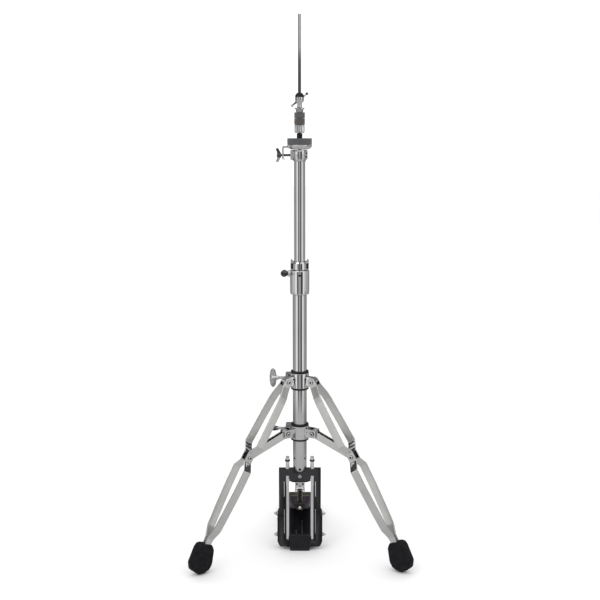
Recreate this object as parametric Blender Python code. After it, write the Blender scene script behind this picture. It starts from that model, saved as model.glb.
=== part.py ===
"""Hi-hat stand with two braced legs, a chain pedal, a tilting seat and a rod clutch.

World frame: the main tube stands on the Z axis, the floor is Z = 0, the pedal runs
out along +Y and the two legs reach forward on the -Y side.  All sizes are metres.
"""
import math

import bmesh
import bpy
from mathutils import Matrix, Vector

MM = 0.001
GAP = 0.3 * MM                       # air left between neighbouring pieces
LARGE = 28                           # sides of a large round piece
MEDIUM = 22
SMALL = 14

# Main column
LOWER_TUBE_R = 14.3 * MM
LOWER_TUBE_BORE = 12.7 * MM
LOWER_TUBE_Z = (164.3 * MM, 590.0 * MM)
UPPER_TUBE_R = 11.1 * MM
UPPER_TUBE_BORE = 9.6 * MM
UPPER_TUBE_Z = (360.0 * MM, 826.0 * MM)
ROD_R = 3.0 * MM
ROD_TOP_Z = 1085.0 * MM
ROD_SPLIT_Z = 300.0 * MM
COLLAR_Z = (543.0 * MM, 592.0 * MM)
MEMORY_Z = (592.3 * MM, 613.0 * MM)
HEIGHT_BOLT_Z = 585.0 * MM

# Legs: positions in a leg's own plane, given as (distance from the tube axis, height)
LEG_AZIMUTHS = {"left": math.radians(211.2), "right": math.radians(331.2)}
LEG_TOP_PIN = (31.0 * MM, 365.0 * MM)
WAIST_PIN = (122.0 * MM, 222.0 * MM)
STRUT_PIN = (33.0 * MM, 256.0 * MM)
LEG_END = (220.0 * MM, 53.0 * MM)
STRAP_WIDTH = 17.0 * MM
STRAP_THICK = 3.0 * MM
STRAP_CLOSE = 7.7 * MM               # strap offset from the leg plane at the pins
STRAP_FOOT = 4.6 * MM
STRUT_HEIGHT = 15.0 * MM
STRUT_HALF = 5.5 * MM
PIN_R = 2.6 * MM
PIN_HOLE_R = 3.2 * MM

# Leg collars: (bottom, top) of each plastic bushing
UPPER_BUSHING_Z = (346.0 * MM, 384.5 * MM)
LOWER_BUSHING_Z = (237.5 * MM, 272.5 * MM)
BUSHING_FLANGE = 3.6 * MM
BUSHING_FLANGE_R = 18.3 * MM
BUSHING_SLEEVE_R = 16.3 * MM
COLLAR_BORE_R = 16.6 * MM
COLLAR_OUT_R = 18.6 * MM
CLAMP_BOLT_Y = 24.0 * MM             # the clamp bolts pass behind the tube

# Pedal
FRAME_FRONT_Y = -18.0 * MM
FRAME_BACK_Y = 14.0 * MM
FRAME_BOTTOM_Z = 7.3 * MM
FRAME_TOP_Z = 182.0 * MM
FRAME_TOP_FALL = math.radians(21.0)      # the top of the frame falls away behind
WINDOW_HALF = 31.5 * MM
WINDOW_Z = (21.0 * MM, 152.0 * MM)
TENSION_ROD_X = 25.6 * MM
TENSION_ROD_Y = -8.0 * MM
BASE_THICK = 7.0 * MM
HEEL_HINGE = (230.0 * MM, 14.0 * MM)     # (y, z) of the footboard's hinge
BOARD_ANGLE = math.radians(17.1)
BOARD_LENGTH = 208.0 * MM
CHAIN_PIN_Z = 127.0 * MM
CHAIN_HALF = 6.2 * MM
YOKE_HALF = 10.0 * MM
CHAIN_ANGLE = math.radians(34.8)
CHAIN_LENGTH = 49.6 * MM

# Seat and clutch
TILT_PIVOT_Z = 829.0 * MM
TILT_SCREW_Z = 819.0 * MM
SEAT_R = 24.2 * MM
CLUTCH_SCREW_Z = 926.0 * MM


def clear_scene():
    for old in list(bpy.data.objects):
        bpy.data.objects.remove(old, do_unlink=True)


def material(name, colour, roughness, metallic):
    mat = bpy.data.materials.new(name)
    mat.use_nodes = True
    shader = mat.node_tree.nodes["Principled BSDF"]
    shader.inputs["Base Color"].default_value = (*colour, 1.0)
    shader.inputs["Roughness"].default_value = roughness
    shader.inputs["Metallic"].default_value = metallic
    return mat


def make_materials():
    return {
        "chrome": material("chrome", (0.62, 0.62, 0.62), 0.12, 1.0),
        "satin_steel": material("satin_steel", (0.45, 0.45, 0.43), 0.38, 1.0),
        "dark_steel": material("dark_steel", (0.10, 0.10, 0.11), 0.40, 1.0),
        "black_paint": material("black_paint", (0.022, 0.023, 0.025), 0.45, 0.0),
        "black_plastic": material("black_plastic", (0.012, 0.012, 0.013), 0.40, 0.0),
        "rubber": material("rubber", (0.016, 0.016, 0.018), 0.75, 0.0),
        "felt": material("felt", (0.12, 0.125, 0.13), 0.95, 0.0),
        "chain_steel": material("chain_steel", (0.42, 0.40, 0.35), 0.35, 1.0),
    }


# ---------------------------------------------------------------- basic solids

def shade(mesh, smooth):
    if smooth:
        mesh.shade_smooth()
        mesh.set_sharp_from_angle(angle=math.radians(35.0))


def add_object(bm, name, mat, smooth=True):
    """Turns a bmesh into a named object with outward faces and one material."""
    bmesh.ops.remove_doubles(bm, verts=bm.verts, dist=1e-6)
    bmesh.ops.recalc_face_normals(bm, faces=bm.faces)
    mesh = bpy.data.meshes.new(name)
    bm.to_mesh(mesh)
    bm.free()
    if mat is not None:
        mesh.materials.append(mat)
    shade(mesh, smooth)
    obj = bpy.data.objects.new(name, mesh)
    bpy.context.scene.collection.objects.link(obj)
    return obj


def lathe(name, profile, mat, segments=MEDIUM, matrix=None, ring=False):
    """Revolves (radius, height) points about Z; ring=True closes the profile round a bore."""
    bm = bmesh.new()
    verts = [bm.verts.new((radius, 0.0, height)) for radius, height in profile]
    pairs = list(zip(verts, verts[1:]))
    if ring:
        pairs.append((verts[-1], verts[0]))
    edges = [bm.edges.new(pair) for pair in pairs]
    bmesh.ops.spin(bm, geom=verts + edges, cent=(0, 0, 0), axis=(0, 0, 1),
                   angle=2.0 * math.pi, steps=segments, use_merge=True)
    bmesh.ops.remove_doubles(bm, verts=bm.verts, dist=1e-6)
    bmesh.ops.dissolve_degenerate(bm, edges=bm.edges, dist=1e-7)
    if matrix is not None:
        bmesh.ops.transform(bm, matrix=matrix, verts=bm.verts)
    return add_object(bm, name, mat)


def rod(name, radius, z_low, z_high, mat, segments=SMALL, matrix=None):
    profile = [(0.0, z_low), (radius, z_low), (radius, z_high), (0.0, z_high)]
    return lathe(name, profile, mat, segments, matrix)


def tube(name, bore, radius, z_low, z_high, mat, segments=MEDIUM, matrix=None):
    profile = [(bore, z_low), (radius, z_low), (radius, z_high), (bore, z_high)]
    return lathe(name, profile, mat, segments, matrix, ring=True)


def block(name, low, high, mat, matrix=None):
    """An axis-aligned box between two corners."""
    bm = bmesh.new()
    bmesh.ops.create_cube(bm, size=1.0)
    size = Vector(high) - Vector(low)
    centre = (Vector(high) + Vector(low)) / 2.0
    bmesh.ops.scale(bm, vec=size, verts=bm.verts)
    bmesh.ops.translate(bm, vec=centre, verts=bm.verts)
    if matrix is not None:
        bmesh.ops.transform(bm, matrix=matrix, verts=bm.verts)
    return add_object(bm, name, mat, smooth=False)


def prism(name, outline, depth, mat, matrix=None):
    """Extrudes an (x, z) outline along Y between the two depths."""
    bm = bmesh.new()
    front = [bm.verts.new((x, depth[0], z)) for x, z in outline]
    face = bm.faces.new(front)
    result = bmesh.ops.extrude_face_region(bm, geom=[face])
    moved = [item for item in result["geom"] if isinstance(item, bmesh.types.BMVert)]
    bmesh.ops.translate(bm, vec=(0, depth[1] - depth[0], 0), verts=moved)
    if matrix is not None:
        bmesh.ops.transform(bm, matrix=matrix, verts=bm.verts)
    return add_object(bm, name, mat, smooth=False)


def round_edges(obj, width, segments=2):
    mod = obj.modifiers.new("rounded", "BEVEL")
    mod.width = width
    mod.segments = segments
    mod.limit_method = "ANGLE"
    mod.angle_limit = math.radians(30.0)
    obj.data.shade_smooth()
    obj.data.set_sharp_from_angle(angle=math.radians(50.0))


def combine(obj, helper, operation):
    """Adds ("UNION") or removes ("DIFFERENCE") a helper solid."""
    helper.hide_render = True
    helper.display_type = "WIRE"
    mod = obj.modifiers.new(helper.name, "BOOLEAN")
    mod.operation = operation
    mod.solver = "EXACT"
    mod.object = helper


def cut(obj, helper):
    combine(obj, helper, "DIFFERENCE")


def join(obj, helper):
    combine(obj, helper, "UNION")


def along_x(x=0.0, y=0.0, z=0.0):
    """Turns a Z-axis solid to lie along +X, then moves it."""
    return Matrix.Translation((x, y, z)) @ Matrix.Rotation(math.pi / 2.0, 4, "Y")


def along_y(x=0.0, y=0.0, z=0.0):
    """Turns a Z-axis solid to lie along +Y, then moves it."""
    return Matrix.Translation((x, y, z)) @ Matrix.Rotation(-math.pi / 2.0, 4, "X")


def joint_empty(name, position, turn=0.0):
    empty = bpy.data.objects.new(name, None)
    empty.location = position
    empty.rotation_euler = (0.0, 0.0, turn)
    bpy.context.scene.collection.objects.link(empty)
    return empty


def attach(parent, position, turn, objects):
    """Parents pieces to a joint empty and keeps them where they were modelled."""
    inverse = (Matrix.Translation(position) @ Matrix.Rotation(turn, 4, "Z")).inverted()
    for obj in objects:
        obj.parent = parent
        obj.matrix_parent_inverse = inverse


def body(name, position, pieces, turn=0.0):
    attach(joint_empty(name, position, turn), position, turn, pieces)


# ---------------------------------------------------------------- main column

def build_column(mats):
    tube("lower_tube", LOWER_TUBE_BORE, LOWER_TUBE_R, *LOWER_TUBE_Z, mats["chrome"], LARGE)

    low, high = COLLAR_Z
    collar = lathe("height_collar", [
        (17.0 * MM, low), (18.8 * MM, low + 2.4 * MM), (19.4 * MM, low + 8.0 * MM),
        (19.6 * MM, high - 12.0 * MM), (19.3 * MM, high - 2.0 * MM), (18.3 * MM, high),
        (14.6 * MM, high), (14.6 * MM, low)], mats["chrome"], LARGE, ring=True)
    boss = rod("height_boss_helper", 6.5 * MM, -23.5 * MM, -16.0 * MM, None, SMALL,
               along_x(0, 0, HEIGHT_BOLT_Z))
    bolt_hole = rod("height_hole_helper", 3.3 * MM, -40.0 * MM, -10.0 * MM, None, SMALL,
                    along_x(0, 0, HEIGHT_BOLT_Z))
    join(collar, boss)
    cut(collar, bolt_hole)

    tube("height_bushing", 11.4 * MM, 12.4 * MM, 500.0 * MM, 589.0 * MM,
         mats["black_plastic"], LARGE)

    lathe("spring_seat", [
        (3.4 * MM, 164.8 * MM), (12.4 * MM, 164.8 * MM), (12.4 * MM, 184.0 * MM),
        (7.0 * MM, 184.0 * MM), (6.5 * MM, 196.0 * MM), (3.4 * MM, 196.0 * MM)],
        mats["black_plastic"], MEDIUM, ring=True)
    build_return_spring(mats)


def build_return_spring(mats):
    """Compression spring between the seat and the rod coupler, as one coiled wire."""
    turns = 7
    steps = 12
    coil_r = 9.0 * MM
    wire_r = 0.9 * MM
    bottom = 185.4 * MM
    top = 276.4 * MM
    sides = 5
    bm = bmesh.new()
    rings = []
    for index in range(turns * steps + 1):
        angle = 2.0 * math.pi * index / steps
        height = bottom + (top - bottom) * index / (turns * steps)
        out = Vector((math.cos(angle), math.sin(angle), 0.0))
        centre = out * coil_r + Vector((0, 0, height))
        ring = []
        for side in range(sides):
            around = 2.0 * math.pi * side / sides
            offset = out * math.cos(around) + Vector((0, 0, 1)) * math.sin(around)
            ring.append(bm.verts.new(centre + offset * wire_r))
        rings.append(ring)
    for first, second in zip(rings, rings[1:]):
        for side in range(sides):
            after = (side + 1) % sides
            bm.faces.new((first[side], first[after], second[after], second[side]))
    bm.faces.new(rings[0])
    bm.faces.new(rings[-1])
    return add_object(bm, "return_spring", mats["satin_steel"])


def wing_plate(name, half_span, half_length, thick, centre_x, mat, segments=SMALL):
    """An elliptical wing plate in the X-Z plane, its middle at centre_x on the X axis."""
    outline = []
    for index in range(segments):
        angle = 2.0 * math.pi * index / segments
        outline.append((centre_x + half_length * math.cos(angle), half_span * math.sin(angle)))
    return prism(name, outline, (-thick / 2.0, thick / 2.0), mat)


def wing_bolt(name, tip_x, hub_x, wing_x, placing, mat):
    """A wing bolt lying along X: shaft from tip_x, hub from hub_x, elliptical wings at wing_x."""
    plate = wing_plate(name, 20.4 * MM, 7.2 * MM, 4.6 * MM, wing_x, mat)
    round_edges(plate, 1.0 * MM, 2)
    shaft = rod(name + "_shaft_helper", 3.0 * MM, wing_x, tip_x, None, SMALL, along_x())
    hub = rod(name + "_hub_helper", 5.2 * MM, wing_x - 4.5 * MM, hub_x, None, SMALL, along_x())
    join(plate, shaft)
    join(plate, hub)
    for piece in (plate, shaft, hub):
        piece.matrix_world = placing
    return plate


def build_upper_assembly(mats):
    upper = tube("upper_tube", UPPER_TUBE_BORE, UPPER_TUBE_R, *UPPER_TUBE_Z, mats["chrome"], LARGE)

    lock = tube("memory_lock", 11.4 * MM, 15.8 * MM, MEMORY_Z[0], MEMORY_Z[1] - 3.5 * MM,
                mats["chrome"], LARGE)
    for side in (-1, 1):
        ear = block("memory_ear_helper_" + ("left" if side < 0 else "right"),
                    (min(side * 12.5 * MM, side * 18.3 * MM), -6.0 * MM, MEMORY_Z[0] + 1.0 * MM),
                    (max(side * 12.5 * MM, side * 18.3 * MM), 6.0 * MM, MEMORY_Z[1]),
                    None)
        join(lock, ear)
    split = block("memory_split_helper", (-1.0 * MM, -20.0 * MM, 580.0 * MM),
                  (1.0 * MM, -8.0 * MM, 620.0 * MM), None)
    cut(lock, split)

    base = lathe("tilter_base", [
        (5.0 * MM, 826.6 * MM), (11.4 * MM, 826.3 * MM), (11.4 * MM, 807.0 * MM),
        (12.4 * MM, 807.0 * MM), (14.3 * MM, 823.0 * MM), (14.3 * MM, 829.0 * MM),
        (5.0 * MM, 829.0 * MM)], mats["chrome"], LARGE, ring=True)
    left_lug = block("tilter_left_helper", (-18.2 * MM, -7.0 * MM, 808.0 * MM),
                     (-12.2 * MM, 7.0 * MM, 829.0 * MM), None)
    right_lug = block("tilter_right_helper", (12.2 * MM, -6.0 * MM, 810.0 * MM),
                      (15.6 * MM, 6.0 * MM, 829.0 * MM), None)
    screw_hole = rod("tilter_hole_helper", 2.9 * MM, -30.0 * MM, -11.8 * MM, None, SMALL,
                     along_x(0, 0, TILT_SCREW_Z))
    join(base, left_lug)
    join(base, right_lug)
    cut(base, screw_hole)

    body("height_adjust", (0, 0, COLLAR_Z[1]), [upper, lock, base])

    facing = Matrix.Translation((0, 0, HEIGHT_BOLT_Z)) @ Matrix.Rotation(math.radians(98.5), 4, "X")
    bolt = wing_bolt("height_wing_bolt", -14.9 * MM, -24.0 * MM, -31.0 * MM, facing, mats["chrome"])
    body("height_wing_turn", (0, 0, HEIGHT_BOLT_Z), [bolt])


def build_seat(mats):
    """The tilting cup with its arm, the felt on it and the black rod sleeve."""
    top = 839.0 * MM
    bottom = 830.0 * MM
    cup = lathe("tilt_cup", [
        (6.4 * MM, bottom), (15.6 * MM, bottom), (20.4 * MM, 831.6 * MM), (23.5 * MM, 835.0 * MM),
        (SEAT_R, top), (21.8 * MM, top), (21.3 * MM, 836.0 * MM), (6.4 * MM, 835.0 * MM)],
        mats["chrome"], LARGE, ring=True)
    bridge = block("cup_arm_top_helper", (-34.0 * MM, -6.0 * MM, 833.2 * MM),
                   (-21.5 * MM, 6.0 * MM, 836.6 * MM), None)
    hanger = block("cup_arm_drop_helper", (-34.0 * MM, -6.0 * MM, 810.5 * MM),
                   (-31.2 * MM, 6.0 * MM, 835.6 * MM), None)
    slot = rod("cup_arm_hole_helper", 4.2 * MM, -45.0 * MM, -28.0 * MM, None, SMALL,
               along_x(0, 0, TILT_SCREW_Z))
    join(cup, bridge)
    join(cup, hanger)
    cut(cup, slot)

    felt = lathe("seat_felt", [
        (6.0 * MM, 839.3 * MM), (SEAT_R - 0.7 * MM, 839.3 * MM), (SEAT_R, 840.3 * MM),
        (SEAT_R, 850.6 * MM), (SEAT_R - 0.7 * MM, 851.6 * MM), (6.0 * MM, 851.6 * MM)],
        mats["felt"], LARGE, ring=True)
    sleeve = lathe("seat_sleeve", [
        (4.3 * MM, 831.0 * MM), (6.0 * MM, 831.0 * MM), (6.0 * MM, 838.0 * MM),
        (5.5 * MM, 838.6 * MM), (5.5 * MM, 861.4 * MM), (4.3 * MM, 861.4 * MM)],
        mats["black_plastic"], MEDIUM, ring=True)
    body("seat_tilt", (0, 0, TILT_PIVOT_Z), [cup, felt, sleeve])

    screw = rod("tilt_wing_screw", 2.4 * MM, -44.0 * MM, -14.6 * MM, mats["chrome"], SMALL,
                along_x(0, 0, TILT_SCREW_Z))
    hub = lathe("tilt_hub_helper", [
        (0.0, -44.5 * MM), (4.6 * MM, -44.5 * MM), (5.4 * MM, -36.3 * MM), (0.0, -36.3 * MM)],
        None, SMALL, along_x(0, 0, TILT_SCREW_Z))
    join(screw, hub)
    for side in (-1, 1):
        outline = [(-37.4, 1.3 * side), (-37.1, 5.0 * side), (-42.0, 13.2 * side),
                   (-45.6, 13.6 * side), (-46.6, 10.4 * side), (-42.9, 1.3 * side)]
        points = [(x * MM, TILT_SCREW_Z + z * MM) for x, z in outline]
        wing = prism("tilt_wing_helper_" + ("low" if side < 0 else "high"), points,
                     (-1.6 * MM, 1.6 * MM), None)
        join(screw, wing)
    body("tilt_screw_turn", (-30.0 * MM, 0, TILT_SCREW_Z), [screw])


def build_clutch(mats):
    """The clutch that holds the top cymbal: stem and head, cap, nuts and two felts."""
    stem = lathe("clutch_body", [
        (3.4 * MM, 866.0 * MM), (5.0 * MM, 866.0 * MM), (5.0 * MM, 912.0 * MM),
        (4.5 * MM, 914.0 * MM), (5.2 * MM, 922.0 * MM), (8.7 * MM, 922.6 * MM),
        (8.7 * MM, 930.0 * MM), (3.4 * MM, 930.0 * MM)], mats["chrome"], MEDIUM, ring=True)
    screw_hole = rod("clutch_hole_helper", 2.3 * MM, 1.0 * MM, 12.0 * MM, None, SMALL,
                     along_y(0, 0, CLUTCH_SCREW_Z))
    cut(stem, screw_hole)
    cap = lathe("clutch_cap", [
        (3.4 * MM, 930.3 * MM), (8.8 * MM, 930.3 * MM), (8.8 * MM, 931.8 * MM),
        (6.4 * MM, 936.2 * MM), (4.2 * MM, 938.0 * MM), (3.4 * MM, 938.0 * MM)],
        mats["black_plastic"], MEDIUM, ring=True)
    flange = lathe("clutch_flange_nut", [
        (5.3 * MM, 901.3 * MM), (6.6 * MM, 901.3 * MM), (6.6 * MM, 907.2 * MM),
        (9.6 * MM, 907.2 * MM), (9.6 * MM, 909.6 * MM), (5.3 * MM, 909.6 * MM)],
        mats["chrome"], MEDIUM, ring=True)
    felts = []
    for name, low, high in (("clutch_upper_felt", 889.3, 901.0), ("clutch_lower_felt", 877.3, 889.0)):
        felts.append(lathe(name, [
            (5.3 * MM, low * MM), (9.8 * MM, low * MM), (10.4 * MM, (low + 0.9) * MM),
            (10.4 * MM, (high - 0.9) * MM), (9.8 * MM, high * MM), (5.3 * MM, high * MM)],
            mats["felt"], MEDIUM, ring=True))
    body("clutch_slide", (0, 0, 866.0 * MM), [stem, cap, flange, *felts])

    nut = lathe("clutch_bottom_nut", [
        (5.3 * MM, 862.0 * MM), (9.3 * MM, 862.0 * MM), (10.0 * MM, 863.0 * MM),
        (10.0 * MM, 876.2 * MM), (9.3 * MM, 877.0 * MM), (5.3 * MM, 877.0 * MM)],
        mats["chrome"], MEDIUM, ring=True)
    body("bottom_nut_turn", (0, 0, 862.0 * MM), [nut])

    screw = rod("clutch_wing_screw", 2.0 * MM, 3.7 * MM, 20.0 * MM, mats["chrome"], SMALL,
                along_y(0, 0, CLUTCH_SCREW_Z))
    hub = rod("clutch_hub_helper", 4.2 * MM, 10.0 * MM, 21.0 * MM, None, SMALL,
              along_y(0, 0, CLUTCH_SCREW_Z))
    outline = [(-20.5, -1.4), (-12.0, -1.8), (12.0, -1.8), (20.5, -1.4),
               (20.5, 1.4), (12.0, 1.8), (-12.0, 1.8), (-20.5, 1.4)]
    points = [(x * MM, z * MM) for x, z in outline]
    lean = Matrix.Translation((0, 0, CLUTCH_SCREW_Z)) @ Matrix.Rotation(math.radians(-38.0), 4, "Y")
    wings = prism("clutch_wing_helper", points, (13.0 * MM, 23.0 * MM), None, lean)
    join(screw, hub)
    join(screw, wings)
    body("clutch_screw_turn", (0, 15.0 * MM, CLUTCH_SCREW_Z), [screw])


def build_pull_rod(mats):
    """The two-part rod from the clutch down to the yoke that the chain hangs from."""
    upper = rod("upper_pull_rod", ROD_R, ROD_SPLIT_Z + GAP / 2, ROD_TOP_Z, mats["dark_steel"], SMALL)
    lower = rod("lower_pull_rod", ROD_R, 136.3 * MM, ROD_SPLIT_Z - GAP / 2, mats["dark_steel"], SMALL)
    coupler = lathe("rod_coupler", [
        (3.3 * MM, 278.0 * MM), (11.0 * MM, 278.0 * MM), (11.0 * MM, 282.0 * MM),
        (6.0 * MM, 283.0 * MM), (6.0 * MM, 318.0 * MM), (3.3 * MM, 318.0 * MM)],
        mats["satin_steel"], MEDIUM, ring=True)
    yoke = block("rod_yoke", (-YOKE_HALF, -6.0 * MM, CHAIN_PIN_Z - 3.5 * MM),
                 (YOKE_HALF, 6.0 * MM, CHAIN_PIN_Z + 20.0 * MM), mats["chrome"])
    round_edges(yoke, 1.2 * MM, 2)
    slot_half = CHAIN_HALF + 0.7 * MM
    slot = block("yoke_slot_helper", (-slot_half, -12.0 * MM, CHAIN_PIN_Z - 9.0 * MM),
                 (slot_half, 12.0 * MM, CHAIN_PIN_Z + 6.0 * MM), None)
    socket = rod("yoke_socket_helper", 3.3 * MM, 136.0 * MM, 152.0 * MM, None, SMALL)
    cut(yoke, slot)
    cut(yoke, socket)
    body("rod_pull", (0, 0, CHAIN_PIN_Z), [upper, lower, coupler, yoke])

    swing = Matrix.Translation((0, 0, CHAIN_PIN_Z)) @ Matrix.Rotation(CHAIN_ANGLE, 4, "X")
    chain = block("pedal_chain", (-CHAIN_HALF, -2.6 * MM, -CHAIN_LENGTH),
                  (CHAIN_HALF, 2.6 * MM, 2.6 * MM), mats["chain_steel"], swing)
    body("chain_swing", (0, 0, CHAIN_PIN_Z), [chain])


# ---------------------------------------------------------------- pedal

def build_frame(mats):
    outline = [(-41.5, 7.3), (41.5, 7.3), (47.0, 19.0), (47.0, 76.0), (43.5, 81.5), (43.5, 182.0),
               (-43.5, 182.0), (-43.5, 81.5), (-47.0, 76.0), (-47.0, 19.0)]
    points = [(x * MM, z * MM) for x, z in outline]
    frame = prism("pedal_frame", points, (FRAME_FRONT_Y, FRAME_BACK_Y), mats["black_paint"])
    round_edges(frame, 1.6 * MM, 2)

    low, high = WINDOW_Z
    opening = [(-WINDOW_HALF, low), (WINDOW_HALF, low), (WINDOW_HALF, high), (19.0 * MM, high),
               (15.0 * MM, high - 2.0 * MM), (-15.0 * MM, high - 2.0 * MM), (-19.0 * MM, high),
               (-WINDOW_HALF, high)]
    window = prism("frame_window_helper", opening, (-40.0 * MM, 40.0 * MM), None)
    boss = rod("frame_boss_helper", 17.7 * MM, 152.0 * MM, FRAME_TOP_Z - 1.5 * MM, None, LARGE)
    lip = block("frame_lip_helper", (-21.0 * MM, -22.0 * MM, FRAME_BOTTOM_Z + 0.4 * MM),
                (21.0 * MM, -16.0 * MM, 33.0 * MM), None)
    bore = rod("frame_bore_helper", 14.6 * MM, 164.0 * MM, 200.0 * MM, None, LARGE)
    rod_way = rod("frame_rod_helper", 4.2 * MM, 130.0 * MM, 170.0 * MM, None, SMALL)
    notch = rod("frame_notch_helper", 12.4 * MM, -40.0 * MM, -6.0 * MM, None, MEDIUM,
                along_y(0, 0, FRAME_TOP_Z + 1.5 * MM))
    fall = Matrix.Translation((0, FRAME_FRONT_Y + 2.0 * MM, FRAME_TOP_Z))
    slope = block("frame_slope_helper", (-60.0 * MM, -1.0 * MM, 0.0), (60.0 * MM, 60.0 * MM, 40.0 * MM),
                  None, fall @ Matrix.Rotation(-FRAME_TOP_FALL, 4, "X"))
    cut(frame, window)
    join(frame, boss)
    join(frame, lip)
    cut(frame, bore)
    cut(frame, rod_way)
    cut(frame, notch)
    cut(frame, slope)
    for side in (-1, 1):
        tag = "left" if side < 0 else "right"
        x = side * TENSION_ROD_X
        through = rod("frame_post_way_helper_" + tag, 4.3 * MM, 140.0 * MM, 200.0 * MM, None, SMALL,
                      Matrix.Translation((x, TENSION_ROD_Y, 0)))
        socket = rod("frame_post_socket_helper_" + tag, 3.3 * MM, 12.0 * MM, 40.0 * MM, None, SMALL,
                     Matrix.Translation((x, TENSION_ROD_Y, 0)))
        scoop = block("frame_post_scoop_helper_" + tag, (x - 4.4 * MM, -30.0 * MM, 176.8 * MM),
                      (x + 4.4 * MM, TENSION_ROD_Y, 200.0 * MM), None)
        relief = block("frame_post_relief_helper_" + tag, (x - 3.6 * MM, -30.0 * MM, 140.0 * MM),
                       (x + 3.6 * MM, TENSION_ROD_Y, 164.0 * MM), None)
        cut(frame, through)
        cut(frame, socket)
        cut(frame, scoop)
        cut(frame, relief)


def build_tension_rods(mats):
    """The two stepped rods through the frame, each with a rubber ring near its top."""
    for side in (-1, 1):
        tag = "left" if side < 0 else "right"
        placing = Matrix.Translation((side * TENSION_ROD_X, TENSION_ROD_Y, 0))
        lathe(tag + "_tension_rod", [
            (0.0, 12.4 * MM), (3.0 * MM, 12.4 * MM), (3.0 * MM, 165.0 * MM),
            (3.9 * MM, 166.0 * MM), (3.9 * MM, 202.2 * MM), (3.4 * MM, 203.0 * MM),
            (0.0, 203.0 * MM)], mats["chrome"], SMALL, placing)
        tube(tag + "_rod_ring", 4.2 * MM, 5.2 * MM, 192.8 * MM, 195.8 * MM, mats["rubber"], SMALL,
             placing)
        for level, z in (("upper", 74.0 * MM), ("lower", 27.0 * MM)):
            profile = [(0.0, 0.0), (4.6 * MM, 0.0), (4.6 * MM, 1.8 * MM), (3.3 * MM, 2.2 * MM),
                       (3.3 * MM, 6.2 * MM), (2.7 * MM, 6.8 * MM), (0.0, 6.8 * MM)]
            turn = Matrix.Rotation(side * math.pi / 2.0, 4, "Y")
            where = Matrix.Translation((side * 47.3 * MM, 0, z)) @ turn
            lathe(tag + "_" + level + "_spur_screw", profile, mats["chrome"], SMALL, where)
    lathe("frame_clamp_screw", [
        (0.0, -18.3 * MM), (3.6 * MM, -18.3 * MM), (3.6 * MM, -20.4 * MM), (0.0, -20.8 * MM)],
        mats["chrome"], SMALL, along_y(0, 0, 163.0 * MM))


def build_base(mats):
    half_front = 21.0 * MM
    half_back = 25.0 * MM
    plan = [(-half_front, -22.0 * MM), (half_front, -22.0 * MM), (half_front, 22.0 * MM),
            (half_back, 40.0 * MM), (half_back, 213.6 * MM), (-half_back, 213.6 * MM),
            (-half_back, 40.0 * MM), (-half_front, 22.0 * MM)]
    upright = Matrix.Rotation(math.pi / 2.0, 4, "X")
    outline = [(x, -y) for x, y in plan]
    base = prism("base_plate", outline, (0.0, BASE_THICK), mats["black_paint"], upright)
    round_edges(base, 0.8 * MM, 1)

    heel = block("heel_plate", (-38.0 * MM, 214.0 * MM, 0.0), (38.0 * MM, 262.0 * MM, 5.0 * MM),
                 mats["black_paint"])
    tread = block("heel_tread_helper", (-27.0 * MM, 238.0 * MM, 1.0 * MM),
                  (27.0 * MM, 272.0 * MM, 11.5 * MM), None)
    join(heel, tread)
    y, z = HEEL_HINGE
    rod("heel_hinge_pin", 4.6 * MM, -22.0 * MM, 22.0 * MM, mats["satin_steel"], SMALL, along_x(0, y, z))


def build_footboard(mats):
    """The footboard and its chain clamp, modelled flat along its own length, then tilted."""
    y, z = HEEL_HINGE
    tilt = Matrix.Translation((0, y, z)) @ Matrix.Rotation(-BOARD_ANGLE, 4, "X")
    lay = tilt @ Matrix.Rotation(math.pi / 2.0, 4, "X")
    start = 5.4 * MM
    half_heel = 26.5 * MM
    half_toe = 19.5 * MM
    outline = [(-half_heel, start), (half_heel, start), (half_heel, 60.0 * MM),
               (23.0 * MM, 150.0 * MM), (half_toe, BOARD_LENGTH - 8.0 * MM),
               (half_toe - 6.0 * MM, BOARD_LENGTH), (-half_toe + 6.0 * MM, BOARD_LENGTH),
               (-half_toe, BOARD_LENGTH - 8.0 * MM), (-23.0 * MM, 150.0 * MM),
               (-half_heel, 60.0 * MM)]
    board = prism("footboard", outline, (-3.4 * MM, 3.4 * MM), mats["black_paint"], lay)
    round_edges(board, 1.2 * MM, 2)
    clamp = block("toe_clamp", (-7.0 * MM, -BOARD_LENGTH - 10.0 * MM, -6.0 * MM),
                  (7.0 * MM, -BOARD_LENGTH - GAP, 7.6 * MM), mats["chrome"], tilt)
    round_edges(clamp, 1.2 * MM, 2)
    body("pedal_press", (0, y, z), [board, clamp])


# ---------------------------------------------------------------- legs

def leg_direction():
    """Unit vectors down the upper and the lower half of a leg, in its own plane."""
    top = Vector(LEG_TOP_PIN)
    waist = Vector(WAIST_PIN)
    end = Vector(LEG_END)
    return (waist - top).normalized(), (end - waist).normalized()


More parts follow.
